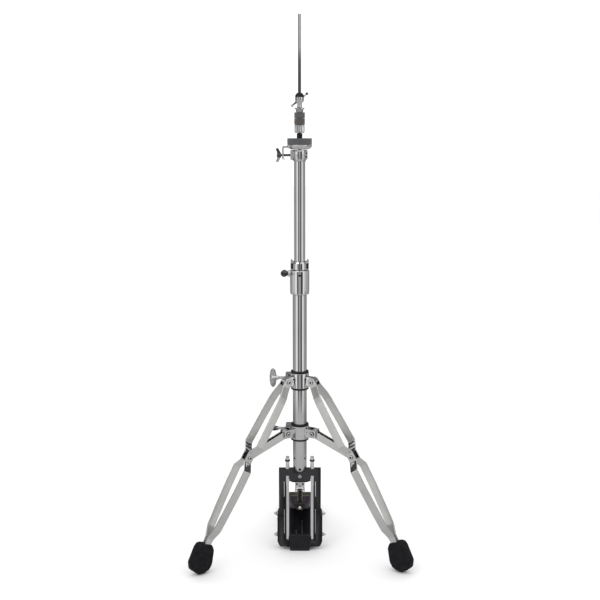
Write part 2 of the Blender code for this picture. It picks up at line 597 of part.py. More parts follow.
def strap_stations():
    """Stations down one strap: (plane point, offset from the leg plane, half width).

    The straps leave the collar close together, splay slowly down to a sharp set just above
    the waist, open again just below it, and close in towards the foot.
    """
    top = Vector(LEG_TOP_PIN)
    waist = Vector(WAIST_PIN)
    end = Vector(LEG_END)
    upper, lower = leg_direction()
    upper_length = (waist - top).length
    lower_length = (end - waist).length
    half = STRAP_WIDTH / 2.0
    rows = []
    for distance, offset, width in (
            (-8.5 * MM, STRAP_CLOSE, 4.2 * MM), (-5.0 * MM, STRAP_CLOSE, 7.2 * MM),
            (0.0, STRAP_CLOSE, half), (11.0 * MM, STRAP_CLOSE, half),
            (33.0 * MM, 16.5 * MM, half), (45.0 * MM, 18.6 * MM, half),
            (90.0 * MM, 21.2 * MM, half), (143.0 * MM, 23.4 * MM, half),
            (upper_length - 10.0 * MM, STRAP_CLOSE, half)):
        rows.append((top + upper * distance, offset, width))
    for distance, offset, width in (
            (10.0 * MM, STRAP_CLOSE, half), (26.0 * MM, 21.6 * MM, half),
            (66.0 * MM, 21.2 * MM, half), (108.0 * MM, 18.4 * MM, half),
            (lower_length - 40.0 * MM, 14.2 * MM, half),
            (lower_length - 20.0 * MM, STRAP_FOOT, half * 0.85),
            (lower_length, STRAP_FOOT, half * 0.7)):
        rows.append((waist + lower * distance, offset, width))
    return rows


def build_strap(name, side_sign, azimuth, mat):
    """One flat steel strap of a leg; side_sign picks the side of the leg plane."""
    upper, lower = leg_direction()
    across = Vector((-(upper + lower).y, (upper + lower).x)).normalized()
    bm = bmesh.new()
    rings = []
    for point, offset, half in strap_stations():
        middle = side_sign * offset
        inner = middle - STRAP_THICK / 2.0
        outer = middle + STRAP_THICK / 2.0
        left = point - across * half
        right = point + across * half
        corners = [(left.x, inner, left.y), (left.x, outer, left.y),
                   (right.x, outer, right.y), (right.x, inner, right.y)]
        rings.append([bm.verts.new(corner) for corner in corners])
    for first, second in zip(rings, rings[1:]):
        for index in range(4):
            after = (index + 1) % 4
            bm.faces.new((first[index], first[after], second[after], second[index]))
    bm.faces.new(rings[0])
    bm.faces.new(rings[-1])
    strap = add_object(bm, name, mat, smooth=False)
    strap.rotation_euler = (0, 0, azimuth)
    for tag, (r, z) in (("top", LEG_TOP_PIN), ("waist", WAIST_PIN)):
        hole = rod(name + "_" + tag + "_hole_helper", PIN_HOLE_R, -30.0 * MM, 30.0 * MM, None, SMALL,
                   along_y(r, 0, z))
        hole.rotation_euler = (0, 0, azimuth)
        cut(strap, hole)
    return strap


def leg_pin(name, where, half, azimuth, mat):
    """A bolt across the leg plane with a low round head at each end."""
    head = half + 2.6 * MM
    r, z = where
    pin = lathe(name, [
        (0.0, -head), (3.4 * MM, -head), (4.2 * MM, -half - 1.4 * MM), (4.2 * MM, -half),
        (PIN_R, -half), (PIN_R, half), (4.2 * MM, half), (4.2 * MM, half + 1.4 * MM),
        (3.4 * MM, head), (0.0, head)], mat, SMALL, along_y(r, 0, z))
    pin.rotation_euler = (0, 0, azimuth)
    return pin


def build_foot(name, azimuth, mat):
    """A rounded rubber foot round the strap ends, its flat lowest facet on the floor."""
    outline = [(203.5, 47.0), (206.0, 54.0), (213.0, 59.0), (228.0, 64.5), (235.0, 64.5),
               (240.5, 59.0), (255.0, 28.0), (255.5, 18.5), (250.0, 8.5), (242.0, 2.5),
               (236.0, 0.0), (226.0, 0.0), (218.0, 4.0), (211.0, 12.0)]
    middle = Vector((230.0, 32.0))
    layers = [(-11.0, 0.76), (-8.5, 0.93), (-4.0, 1.0), (4.0, 1.0), (8.5, 0.93), (11.0, 0.76)]
    bm = bmesh.new()
    rings = []
    for across, share in layers:
        points = [middle + (Vector(point) - middle) * share for point in outline]
        rings.append([bm.verts.new((p.x * MM, across * MM, p.y * MM)) for p in points])
    for first, second in zip(rings, rings[1:]):
        for index in range(len(outline)):
            after = (index + 1) % len(outline)
            bm.faces.new((first[index], first[after], second[after], second[index]))
    bm.faces.new(rings[0])
    bm.faces.new(rings[-1])
    foot = add_object(bm, name, mat)
    _, lower = leg_direction()
    end = Vector(LEG_END)
    start = end - lower * 40.0 * MM
    stop = end + lower * 1.0 * MM
    across = Vector((-lower.y, lower.x)) * (STRAP_WIDTH * 0.5 + 0.6 * MM)
    pocket = [start - across, start + across, stop + across, stop - across]
    hollow = prism(name + "_pocket_helper", [(p.x, p.y) for p in pocket],
                   (-STRAP_FOOT - 1.9 * MM, STRAP_FOOT + 1.9 * MM), None)
    cut(foot, hollow)
    for piece in (foot, hollow):
        piece.rotation_euler = (0, 0, azimuth)
    return foot


def build_strut(name, azimuth, mat):
    """An upward-open channel from the lower collar to the waist, with a slot for the bolt."""
    inner = Vector(STRUT_PIN)
    outer = Vector(WAIST_PIN)
    length = (outer - inner).length
    half = STRUT_HEIGHT / 2.0
    outline = []
    arc_steps = 6
    for centre, first in ((length, -90.0), (0.0, 90.0)):
        for index in range(arc_steps + 1):
            angle = math.radians(first + 180.0 * index / arc_steps)
            outline.append((centre + half * math.cos(angle), half * math.sin(angle)))
    slope = math.atan2(inner.y - outer.y, outer.x - inner.x)
    placing = Matrix.Translation((inner.x, 0, inner.y)) @ Matrix.Rotation(slope, 4, "Y")
    strut = prism(name, outline, (-STRUT_HALF, STRUT_HALF), mat, placing)
    channel = block(name + "_channel_helper", (10.0 * MM, -3.3 * MM, -3.0 * MM),
                    (length - 19.0 * MM, 3.3 * MM, 30.0 * MM), None, placing)
    hole = rod(name + "_hole_helper", PIN_HOLE_R, -20.0 * MM, 20.0 * MM, None, SMALL,
               placing @ along_y())
    slot_half = 4.7 * MM
    slot_outline = []
    for centre, first in ((length + 0.8 * MM, -90.0), (length - 7.6 * MM, 90.0)):
        for index in range(arc_steps + 1):
            angle = math.radians(first + 180.0 * index / arc_steps)
            slot_outline.append((centre + slot_half * math.cos(angle), slot_half * math.sin(angle)))
    slot = prism(name + "_slot_helper", slot_outline, (-20.0 * MM, 20.0 * MM), None, placing)
    for helper in (channel, hole, slot):
        cut(strut, helper)
    for piece in (strut, channel, hole, slot):
        piece.rotation_euler = (0, 0, azimuth)
    return strut


def build_bushing(name, z_range, mat):
    low, high = z_range
    bore = LOWER_TUBE_R + GAP
    return lathe(name, [
        (bore, low), (BUSHING_FLANGE_R - 1.0 * MM, low), (BUSHING_FLANGE_R, low + 1.0 * MM),
        (BUSHING_FLANGE_R, low + BUSHING_FLANGE), (BUSHING_SLEEVE_R, low + BUSHING_FLANGE),
        (BUSHING_SLEEVE_R, high - BUSHING_FLANGE), (BUSHING_FLANGE_R, high - BUSHING_FLANGE),
        (BUSHING_FLANGE_R, high - 1.0 * MM), (BUSHING_FLANGE_R - 1.0 * MM, high), (bore, high)],
        mat, LARGE, ring=True)


def build_collar(name, z_range, pin, fork, bolt_z, mat):
    """A clamp collar with one ear per leg and a split lug behind for its wing bolt."""
    low = z_range[0] + BUSHING_FLANGE + GAP
    high = z_range[1] - BUSHING_FLANGE - GAP
    collar = rod(name, COLLAR_OUT_R, low, high, mat, LARGE)
    half_ear = 9.5 * MM if fork else 5.7 * MM
    reach = 41.0 * MM if fork else 40.0 * MM
    r, z = pin
    for tag, azimuth in LEG_AZIMUTHS.items():
        ear = block(name + "_ear_helper_" + tag, (15.0 * MM, -half_ear, z - 9.2 * MM),
                    (reach, half_ear, z + 9.2 * MM), None)
        ear.rotation_euler = (0, 0, azimuth)
        join(collar, ear)
    lug = block(name + "_lug_helper", (-30.0 * MM, 9.0 * MM, bolt_z - 11.5 * MM),
                (-4.0 * MM, 31.0 * MM, bolt_z + 11.5 * MM), None)
    bore = rod(name + "_bore_helper", COLLAR_BORE_R, low - 20 * MM, high + 20 * MM, None, LARGE,
               Matrix.Rotation(math.radians(4.0), 4, "Z"))
    slot = block(name + "_slot_helper", (-16.0 * MM, 2.0 * MM, low - 20 * MM),
                 (-13.6 * MM, 60.0 * MM, high + 20 * MM), None)
    bolt_hole = rod(name + "_bolt_hole_helper", 3.3 * MM, -60.0 * MM, 20.0 * MM, None, SMALL,
                    along_x(0, CLAMP_BOLT_Y, bolt_z))
    join(collar, lug)
    cut(collar, bore)
    cut(collar, slot)
    cut(collar, bolt_hole)
    for tag, azimuth in LEG_AZIMUTHS.items():
        hole = rod(name + "_pin_hole_helper_" + tag, PIN_HOLE_R, -20.0 * MM, 20.0 * MM, None, SMALL,
                   along_y(r, 0, z))
        hole.rotation_euler = (0, 0, azimuth)
        cut(collar, hole)
        if fork:
            gap = block(name + "_fork_helper_" + tag, (23.0 * MM, -STRUT_HALF - 0.5 * MM, z - 20 * MM),
                        (60.0 * MM, STRUT_HALF + 0.5 * MM, z + 20 * MM), None)
            gap.rotation_euler = (0, 0, azimuth)
            cut(collar, gap)
    return collar


def build_legs(mats):
    lower_bushing = build_bushing("lower_leg_bushing", LOWER_BUSHING_Z, mats["black_plastic"])
    upper_bushing = build_bushing("upper_leg_bushing", UPPER_BUSHING_Z, mats["black_plastic"])
    lower_bolt_z = 253.3 * MM
    upper_bolt_z = 362.5 * MM
    lower_collar = build_collar("lower_leg_collar", LOWER_BUSHING_Z, STRUT_PIN, True, lower_bolt_z,
                                mats["chrome"])
    upper_collar = build_collar("upper_leg_collar", UPPER_BUSHING_Z, LEG_TOP_PIN, False,
                                upper_bolt_z, mats["chrome"])
    body("leg_height", (0, 0, LOWER_BUSHING_Z[0]), [lower_bushing])
    strut_pins = []
    leg_pins = []
    for tag, azimuth in LEG_AZIMUTHS.items():
        strut_pins.append(leg_pin(tag + "_strut_pin", STRUT_PIN, 9.8 * MM, azimuth, mats["chrome"]))
        top_pin = leg_pin(tag + "_leg_pin", LEG_TOP_PIN, 9.5 * MM, azimuth, mats["chrome"])
        leg_pins.append(top_pin)
        straps = [build_strap(tag + "_leg_strap_a", 1.0, azimuth, mats["satin_steel"]),
                  build_strap(tag + "_leg_strap_b", -1.0, azimuth, mats["satin_steel"])]
        waist_bolt = leg_pin(tag + "_waist_bolt", WAIST_PIN, 9.5 * MM, azimuth, mats["chrome"])
        foot = build_foot(tag + "_rubber_foot", azimuth, mats["rubber"])
        strut = build_strut(tag + "_leg_strut", azimuth, mats["satin_steel"])
        out = Vector((math.cos(azimuth), math.sin(azimuth), 0.0))
        leg_at = out * LEG_TOP_PIN[0] + Vector((0, 0, LEG_TOP_PIN[1]))
        strut_at = out * STRUT_PIN[0] + Vector((0, 0, STRUT_PIN[1]))
        body(tag + "_leg_fold", leg_at, [*straps, waist_bolt, foot], azimuth)
        body(tag + "_strut_fold", strut_at, [strut], azimuth)
    body("leg_swivel", (0, 0, LOWER_BUSHING_Z[1]), [lower_collar, *strut_pins])
    body("collar_slide", (0, 0, UPPER_BUSHING_Z[0]), [upper_collar, upper_bushing, *leg_pins])

    edge_on = math.radians(90.0 - 18.5)
    for name, z, turn in (("lower_clamp_wing_bolt", lower_bolt_z, edge_on),
                          ("upper_clamp_wing_bolt", upper_bolt_z, 0.0)):
        placing = Matrix.Translation((0, CLAMP_BOLT_Y, z)) @ Matrix.Rotation(turn, 4, "X")
        bolt = wing_bolt(name, -6.0 * MM, -44.0 * MM, -55.5 * MM, placing, mats["chrome"])
        body(name + "_turn", (0, CLAMP_BOLT_Y, z), [bolt])


def build_stand():
    clear_scene()
    mats = make_materials()
    build_column(mats)
    build_upper_assembly(mats)
    build_seat(mats)
    build_clutch(mats)
    build_pull_rod(mats)
    build_frame(mats)
    build_tension_rods(mats)
    build_base(mats)
    build_footboard(mats)
    build_legs(mats)


build_stand()
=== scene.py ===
"""Hi-hat stand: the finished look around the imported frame.

Shapes are drawn in millimetres and scaled by MM.  Shader distances, the camera, the floor and the
lights are in metres.
"""
import math
import random

import bmesh
import bpy
from mathutils import Matrix, Vector


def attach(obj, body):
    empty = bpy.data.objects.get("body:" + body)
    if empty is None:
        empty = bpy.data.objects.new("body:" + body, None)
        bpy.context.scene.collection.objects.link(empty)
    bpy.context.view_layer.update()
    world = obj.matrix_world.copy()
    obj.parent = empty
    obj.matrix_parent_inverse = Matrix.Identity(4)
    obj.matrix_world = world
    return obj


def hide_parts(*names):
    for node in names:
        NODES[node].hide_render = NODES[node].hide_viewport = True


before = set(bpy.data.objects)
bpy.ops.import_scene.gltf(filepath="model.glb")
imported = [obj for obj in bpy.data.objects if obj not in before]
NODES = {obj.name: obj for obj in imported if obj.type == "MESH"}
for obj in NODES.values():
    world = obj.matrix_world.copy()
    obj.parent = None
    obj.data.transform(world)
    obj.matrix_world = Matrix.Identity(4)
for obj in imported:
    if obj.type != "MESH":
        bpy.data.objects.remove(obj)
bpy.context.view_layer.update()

MM = 0.001
TAU = 2.0 * math.pi
scene = bpy.context.scene


# ---------------------------------------------------------------- node helpers

def fill_ramp(ramp, stops):
    """Sets a colour ramp's stops; each is a rising position and a colour."""
    elements = ramp.elements
    while len(elements) > 1:
        elements.remove(elements[-1])
    elements[0].position = stops[0][0]
    elements[0].color = (*stops[0][1], 1.0)
    for position, colour in stops[1:]:
        elements.new(position).color = (*colour, 1.0)


class Nodes:
    """Adds nodes to one node tree."""

    def __init__(self, tree):
        self.tree = tree

    def feed(self, socket, value):
        """Sets an input, or links it where the value is another node's output."""
        if isinstance(value, bpy.types.NodeSocket):
            self.tree.links.new(value, socket)
        else:
            socket.default_value = value

    def node(self, kind, **inputs):
        made = self.tree.nodes.new(kind)
        for key, value in inputs.items():
            self.feed(made.inputs[key.replace("_", " ")], value)
        return made

    def ramp(self, value, stops):
        made = self.node("ShaderNodeValToRGB", Fac=value)
        fill_ramp(made.color_ramp, stops)
        return made.outputs["Color"]

    def mixed(self, factor, first, second):
        """Blends two colours; either may be a socket or an RGB triple."""
        made = self.node("ShaderNodeMix")
        made.data_type = "RGBA"
        self.feed(made.inputs["Factor"], factor)
        for index, value in ((6, first), (7, second)):         # the colour inputs A and B
            self.feed(made.inputs[index], (*value, 1.0) if isinstance(value, tuple) else value)
        return made.outputs[2]

    def math(self, operation, *values):
        made = self.node("ShaderNodeMath")
        made.operation = operation
        for socket, value in zip(made.inputs, values):
            self.feed(socket, value)
        return made.outputs[0]


class Shader(Nodes):
    """A small builder for one procedural Principled material."""

    def __init__(self, name, colour, roughness, metallic):
        self.mat = bpy.data.materials.new(name)
        self.mat.use_nodes = True
        super().__init__(self.mat.node_tree)
        self.bsdf = self.tree.nodes["Principled BSDF"]
        self.bsdf.inputs["Base Color"].default_value = (*colour, 1.0)
        self.bsdf.inputs["Roughness"].default_value = roughness
        self.bsdf.inputs["Metallic"].default_value = metallic

    def link(self, output, key):
        self.tree.links.new(output, self.bsdf.inputs[key])

    def coords(self, scale=(1.0, 1.0, 1.0)):
        where = self.node("ShaderNodeTexCoord")
        return self.node("ShaderNodeMapping", Vector=where.outputs["Object"], Scale=scale).outputs["Vector"]

    def noise(self, scale, detail=4.0, stretch=(1.0, 1.0, 1.0), roughness=0.5):
        made = self.node("ShaderNodeTexNoise", Vector=self.coords(stretch), Scale=scale, Detail=detail,
            Roughness=roughness)
        return made.outputs["Fac"]

    def remap(self, value, low, high, to_low, to_high):
        made = self.node("ShaderNodeMapRange", Value=value, From_Min=low, From_Max=high, To_Min=to_low,
            To_Max=to_high)
        return made.outputs["Result"]

    def bump(self, height, strength, distance, below=None):
        made = self.node("ShaderNodeBump", Height=height, Strength=strength, Distance=distance)
        if below is not None:
            self.tree.links.new(below, made.inputs["Normal"])
        return made.outputs["Normal"]

    def crevice_shade_mask(self, distance):
        """1 in the open, falling to 0 inside crevices narrower than the distance: the mask for painted
        crevice shade.
        """
        made = self.node("ShaderNodeAmbientOcclusion", Distance=distance)
        made.samples = 6
        return self.remap(made.outputs["AO"], 0.25, 0.85, 0.0, 1.0)

    def edges(self, low=0.5, high=0.56):
        """1 on convex edges, 0 elsewhere."""
        where = self.node("ShaderNodeNewGeometry")
        return self.remap(where.outputs["Pointiness"], low, high, 0.0, 1.0)


def shade_between(colour, dark, light):
    return tuple(c * dark for c in colour), tuple(min(1.0, c * light) for c in colour)


def chrome(name="chrome", colour=(0.80, 0.80, 0.81), rough=(0.045, 0.10), crevice_shade_distance=0.005):
    """Polished plating: faint polishing lines, a little haze and smudging, with painted shade darkening its
    crevices.
    """
    s = Shader(name, colour, rough[0], 1.0)
    haze = s.noise(38.0, 5.0)
    s.link(s.remap(haze, 0.35, 0.7, *rough), "Roughness")
    dark, light = shade_between(colour, 0.93, 1.04)
    plate = s.ramp(s.noise(14.0, 3.0), [(0.3, dark), (0.7, light)])
    # painted shade: the base colour falls to 16 % of the plating colour inside crevices
    s.link(s.mixed(s.crevice_shade_mask(crevice_shade_distance), tuple(c * 0.16 for c in colour), plate), "Base Color")
    lines = s.noise(2400.0, 3.0, (1.0, 1.0, 0.05))
    s.link(s.bump(lines, 0.05, 0.00002), "Normal")
    return s.mat


def satin(name="satin_steel", colour=(0.84, 0.85, 0.82), rough=(0.30, 0.42), grain=(1.0, 1.0, 0.04)):
    """Brushed plating on strip steel, with painted shade darkening its crevices."""
    s = Shader(name, colour, rough[0], 1.0)
    streaks = s.noise(1500.0, 6.0, grain, 0.65)
    s.link(s.remap(streaks, 0.3, 0.7, *rough), "Roughness")
    dark, light = shade_between(colour, 0.9, 1.06)
    plate = s.ramp(s.noise(22.0, 4.0), [(0.3, dark), (0.7, light)])
    # painted shade: the base colour falls to 12 % of the plating colour inside crevices
    s.link(s.mixed(s.crevice_shade_mask(0.006), tuple(c * 0.12 for c in colour), plate), "Base Color")
    s.link(s.bump(streaks, 0.12, 0.00003), "Normal")
    return s.mat


def pull_rod_steel(name="rod_steel", tip=(0.66, 0.66, 0.67), body=(0.26, 0.26, 0.27)):
    """Ground steel rod: bright near its tip, darker below."""
    s = Shader(name, tip, 0.12, 1.0)
    spot = s.node("ShaderNodeSeparateXYZ", Vector=s.coords())
    rise = s.remap(spot.outputs["Z"], 1.000, 1.024, 0.0, 1.0)
    s.link(s.mixed(rise, body, tip), "Base Color")
    grind = s.noise(1500.0, 6.0, (1.0, 1.0, 0.04), 0.65)
    s.link(s.remap(grind, 0.3, 0.7, 0.08, 0.14), "Roughness")
    s.link(s.bump(grind, 0.12, 0.00003), "Normal")
    return s.mat


def powder(name="black_paint", colour=(0.005, 0.005, 0.0065), rough=(0.36, 0.5), wear=(0.03, 0.03, 0.034)):
    """Textured black coating with slightly rubbed edges."""
    s = Shader(name, colour, rough[0], 0.0)
    s.bsdf.inputs["Specular IOR Level"].default_value = 0.22
    grain = s.noise(900.0, 6.0)
    rubbed = s.edges(0.52, 0.60)
    dark, light = shade_between(colour, 0.75, 1.5)
    base = s.ramp(s.noise(60.0, 4.0), [(0.3, dark), (0.7, light)])
    s.link(s.mixed(rubbed, base, wear), "Base Color")
    s.link(s.remap(grain, 0.3, 0.7, *rough), "Roughness")
    peel = s.bump(s.noise(420.0, 3.0), 0.25, 0.00012)
    s.link(s.bump(grain, 0.25, 0.00005, peel), "Normal")
    return s.mat


def plastic(name="black_plastic", colour=(0.005, 0.005, 0.0055), rough=(0.38, 0.52)):
    """Moulded nylon."""
    s = Shader(name, colour, rough[0], 0.0)
    s.bsdf.inputs["Specular IOR Level"].default_value = 0.35
    grain = s.noise(700.0, 5.0)
    s.link(s.remap(grain, 0.3, 0.7, *rough), "Roughness")
    dark, light = shade_between(colour, 0.8, 1.6)
    s.link(s.ramp(s.noise(90.0, 3.0), [(0.35, dark), (0.7, light)]), "Base Color")
    s.link(s.bump(grain, 0.15, 0.00003), "Normal")
    return s.mat


def rubber(name="rubber", colour=(0.006, 0.006, 0.0075)):
    """Moulded rubber with a fine matt skin."""
    s = Shader(name, colour, 0.6, 0.0)
    s.bsdf.inputs["Specular IOR Level"].default_value = 0.2
    grain = s.noise(520.0, 8.0, roughness=0.65)
    dark, light = shade_between(colour, 0.7, 2.0)
    s.link(s.ramp(s.noise(130.0, 8.0), [(0.35, dark), (0.75, light)]), "Base Color")
    s.link(s.remap(grain, 0.3, 0.7, 0.52, 0.75), "Roughness")
    s.link(s.bump(grain, 0.4, 0.0001), "Normal")
    return s.mat


def felt(name="felt", colour=(0.062, 0.065, 0.068)):
    """Pressed wool: short tangled fibres of several greys."""
    s = Shader(name, colour, 0.95, 0.0)
    s.bsdf.inputs["Sheen Weight"].default_value = 0.15
    s.bsdf.inputs["Sheen Roughness"].default_value = 0.6
    fibres = s.noise(1300.0, 10.0, roughness=0.75)
    dark, light = shade_between(colour, 0.45, 1.9)
    s.link(s.ramp(fibres, [(0.32, dark), (0.5, colour), (0.72, light)]), "Base Color")
    s.link(s.remap(s.noise(300.0, 4.0), 0.3, 0.7, 0.85, 1.0), "Roughness")
    s.link(s.bump(fibres, 0.8, 0.0004), "Normal")
    return s.mat


MATS = {                       # the finishes; "chrome" and so on are also the names of CAD slots
    "chrome": chrome(),
    "satin_steel": satin(),
    # dark_steel also serves as painted dark reflection bands on the leg straps
    "dark_steel": satin("dark_steel", (0.16, 0.16, 0.17), (0.2, 0.32)),
    "black_paint": powder(),
    "black_plastic": plastic(),
    "rubber": rubber(),
    "felt": felt(),
    "chain_steel": satin("chain_steel", (0.44, 0.41, 0.34), (0.28, 0.42), (1.0, 1.0, 1.0)),
    # painted reflection: chrome darkened to 0.12, standing in for the dark reflections some bolts show
    "shade_painted_chrome": chrome("shade_painted_chrome", (0.12, 0.12, 0.13), (0.10, 0.2)),
    "bright_steel": chrome("bright_steel", (0.84, 0.84, 0.83), (0.03, 0.06), 0.002),
    "rod_chrome": chrome("rod_chrome", (0.97, 0.97, 0.97), (0.03, 0.07), 0.001),
    # painted shade: a near-black finish for holes, gaps, channel insides and small sunk screws where shade
    # falls
    "painted_recess_shade": satin("painted_recess_shade", (0.035, 0.035, 0.038), (0.4, 0.55), (1.0, 1.0, 1.0)),
    "link_steel": satin("link_steel", (0.07, 0.065, 0.055), (0.3, 0.42), (1.0, 1.0, 1.0)),
    "rod_steel": pull_rod_steel(),
    "felt_brown": felt("felt_brown", (0.062, 0.056, 0.05)),
    "board": powder("board", (0.024, 0.017, 0.028), (0.4, 0.55), (0.06, 0.05, 0.07)),
    "khaki": rubber("khaki", (0.05, 0.046, 0.03)),
}
# the CAD slot that each finish belongs to, unless a piece says otherwise
SLOTS = {name: name for name in MATS}
SLOTS.update(dict.fromkeys(("painted_recess_shade", "shade_painted_chrome", "rod_chrome", "dark_steel", "link_steel"), "chrome"))
SLOTS.update(board="black_paint", khaki="rubber", felt_brown="felt", rod_steel="dark_steel")
SIDES = (("left", -1), ("right", 1))


# ---------------------------------------------------------------- mesh helpers

def fillet(points, radius, steps=4, closed=True):
    """Rounds the corners of a 2-D outline; radius may be one number or one per point."""
    count = len(points)
    radii = radius if isinstance(radius, (list, tuple)) else [radius] * count
    result = []
    for index, point in enumerate(points):
        here = Vector(point)
        if radii[index] <= 0.0 or (not closed and index in (0, count - 1)):
            result.append(here)
            continue
        before = Vector(points[index - 1]) - here
        after = Vector(points[(index + 1) % count]) - here
        reach_limit = 0.49 * min(before.length, after.length)
        before.normalize()
        after.normalize()
        angle = before.angle(after)
        if angle > math.radians(176.0):
            result.append(here)
            continue
        reach = min(reach_limit, radii[index] / math.tan(angle / 2.0))
        start, stop = here + before * reach, here + after * reach
        for step in range(steps + 1):
            t = step / steps
            result.append(start * (1 - t) ** 2 + here * 2 * t * (1 - t) + stop * t ** 2)
    return [(p.x, p.y) for p in result]


def polygon_radius(sides, radius):
    """Radius by angle of a regular polygon with the given corner radius."""
    part = TAU / sides
    return lambda angle: radius * math.cos(part / 2) / math.cos(angle % part - part / 2)


def fluted_radius(radius, flutes, depth):
    """Radius by angle of a grip with rounded grooves."""
    return lambda angle: radius - depth * max(0.0, math.cos(flutes * angle)) ** 1.5


def turned(rings, segments=48, ring=False):
    """Revolves (radius or radius-by-angle, height) pairs in mm about Z into a closed bmesh."""
    bm = bmesh.new()
    loops = []
    for radius, height in rings:
        if radius == 0.0:
            loops.append([bm.verts.new((0.0, 0.0, height * MM))])
            continue
        loop = []
        for index in range(segments):
            angle = TAU * index / segments
            r = radius(angle) if callable(radius) else radius
            loop.append(bm.verts.new((r * MM * math.cos(angle), r * MM * math.sin(angle), height * MM)))
        loops.append(loop)
    pairs = list(zip(loops, loops[1:]))
    if ring:
        pairs.append((loops[-1], loops[0]))
    for low, high in pairs:
        for index in range(segments):
            after = (index + 1) % segments
            quad = [low[index % len(low)], low[after % len(low)], high[after % len(high)],
                high[index % len(high)]]
            unique = list(dict.fromkeys(quad))
            if len(unique) > 2:
                bm.faces.new(unique)
    if not ring:
        for loop in (loops[0], loops[-1]):
            if len(loop) > 1:
                bm.faces.new(loop)
    return bm


def plug(radius, low, high, segments):
    """A plain cylinder about Z."""
    return turned([(0.0, low), (radius, low), (radius, high), (0.0, high)], segments)


def skin(bm, rings):
    """Joins rings of points, one after another, into a closed shell with flat ends."""
    count = len(rings[0])
    for first, second in zip(rings, rings[1:]):
        for index in range(count):
            after = (index + 1) % count
            bm.faces.new((first[index], first[after], second[after], second[index]))
    bm.faces.new(rings[0])
    bm.faces.new(rings[-1])


def split_line(first, second, parts, begin=0):
    """Points along a 2-D line cut into equal parts: without its end, or without its start if begin is 1."""
    (x0, y0), (x1, y1) = first, second
    return [(x0 + (x1 - x0) * i / parts, y0 + (y1 - y0) * i / parts) for i in range(begin, parts + begin)]


def mirrored(right, steps):
    """A rounded symmetric outline from the (x, z, corner radius) points of its right side."""
    left = [(-x, z, r) for x, z, r in right]
    whole = left[:1] + right + left[:0:-1]
    return fillet([(x, z) for x, z, _ in whole], [r for _, _, r in whole], steps)


def slab(outline, low, high, bevel=0.0, segments=2):
    """Extrudes an (x, z) outline in mm along Y, with rounded rims."""
    bm = bmesh.new()
    front = [bm.verts.new((x * MM, low * MM, z * MM)) for x, z in outline]
    face = bm.faces.new(front)
    made = bmesh.ops.extrude_face_region(bm, geom=[face])
    moved = [v for v in made["geom"] if isinstance(v, bmesh.types.BMVert)]
    bmesh.ops.translate(bm, vec=(0, (high - low) * MM, 0), verts=moved)
    bmesh.ops.recalc_face_normals(bm, faces=bm.faces)
    if bevel:
        rims = [e for e in bm.edges if abs(e.verts[0].co.y - e.verts[1].co.y) < 1e-9]
        bmesh.ops.bevel(bm, geom=rims, offset=bevel * MM, segments=segments, affect="EDGES",
            clamp_overlap=True)
    return bm


def brick(low, high, bevel=0.0):
    """A box between two corners in mm, with rounded edges if asked."""
    bm = bmesh.new()
    bmesh.ops.create_cube(bm, size=1.0)
    size = [(b - a) * MM for a, b in zip(low, high)]
    middle = [(b + a) * MM / 2 for a, b in zip(low, high)]
    bmesh.ops.scale(bm, vec=size, verts=bm.verts)
    bmesh.ops.translate(bm, vec=middle, verts=bm.verts)
    if bevel:
        bmesh.ops.bevel(bm, geom=bm.edges[:], offset=bevel * MM, segments=2, affect="EDGES")
    return bm


def moved(bm, matrix):
    """Places a bmesh and returns it."""
    bmesh.ops.transform(bm, matrix=matrix, verts=bm.verts)
    return bm


def merge(*parts):
    """One bmesh holding several closed shells."""
    whole = bmesh.new()
    for part in parts:
        mesh = bpy.data.meshes.new("part")
        part.to_mesh(mesh)
        part.free()
        whole.from_mesh(mesh)
        bpy.data.meshes.remove(mesh)
    return whole


def at(x=0.0, y=0.0, z=0.0):
    return Matrix.Translation((x * MM, y * MM, z * MM))


def turn(degrees, axis):
    return Matrix.Rotation(math.radians(degrees), 4, axis)


TO_X = turn(90.0, "Y")         # a Z-axis solid laid along +X
TO_Y = turn(-90.0, "X")        # a Z-axis solid laid along +Y


def raw_object(name, bm):
    bmesh.ops.remove_doubles(bm, verts=bm.verts, dist=1e-7)
    bmesh.ops.recalc_face_normals(bm, faces=bm.faces)
    mesh = bpy.data.meshes.new(name)
    bm.to_mesh(mesh)
    bm.free()
    obj = bpy.data.objects.new(name, mesh)
    scene.collection.objects.link(obj)
    return obj


def carved(base, *steps, bevel=0.0, segments=2, angle=35.0):
    """Unions ("+") and cuts ("-") in order, then rounds the sharp edges; returns a bmesh."""
    obj = raw_object("carved", base)
    tools = []
    for index, (sign, tool) in enumerate(steps):
        helper = raw_object("tool", tool)
        tools.append(helper)
        mod = obj.modifiers.new(f"step{index}", "BOOLEAN")
        mod.operation = "UNION" if sign == "+" else "DIFFERENCE"
        mod.solver = "EXACT"
        mod.object = helper
    if bevel:
        mod = obj.modifiers.new("rounded", "BEVEL")
        mod.width = bevel * MM
        mod.segments = segments
        mod.limit_method = "ANGLE"
        mod.angle_limit = math.radians(angle)
        mod.use_clamp_overlap = True
    bpy.context.view_layer.update()
    graph = bpy.context.evaluated_depsgraph_get()
    mesh = bpy.data.meshes.new_from_object(obj.evaluated_get(graph))
    bm = bmesh.new()
    bm.from_mesh(mesh)
    bpy.data.meshes.remove(mesh)
    for item in [obj, *tools]:
        old = item.data
        bpy.data.objects.remove(item)
        bpy.data.meshes.remove(old)
    return bm


def piece(name, bm, mat, body, replaced=(), matrix=None, sharp=38.0, slot=None):
    """Makes a finished piece that rides a body and may stand for CAD nodes; the slot it works out is not
    used.
    """
    slot = slot or SLOTS[mat]
    if matrix is not None:
        moved(bm, matrix)
    obj = raw_object(name, bm)
    obj.data.materials.append(MATS[mat])
    for face in obj.data.polygons:
        face.use_smooth = True
    obj.data.set_sharp_from_angle(angle=math.radians(sharp))
    weighted = obj.modifiers.new("weighted", "WEIGHTED_NORMAL")
    weighted.keep_sharp = True
    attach(obj, body)
    if replaced:
        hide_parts(*replaced)
    return obj


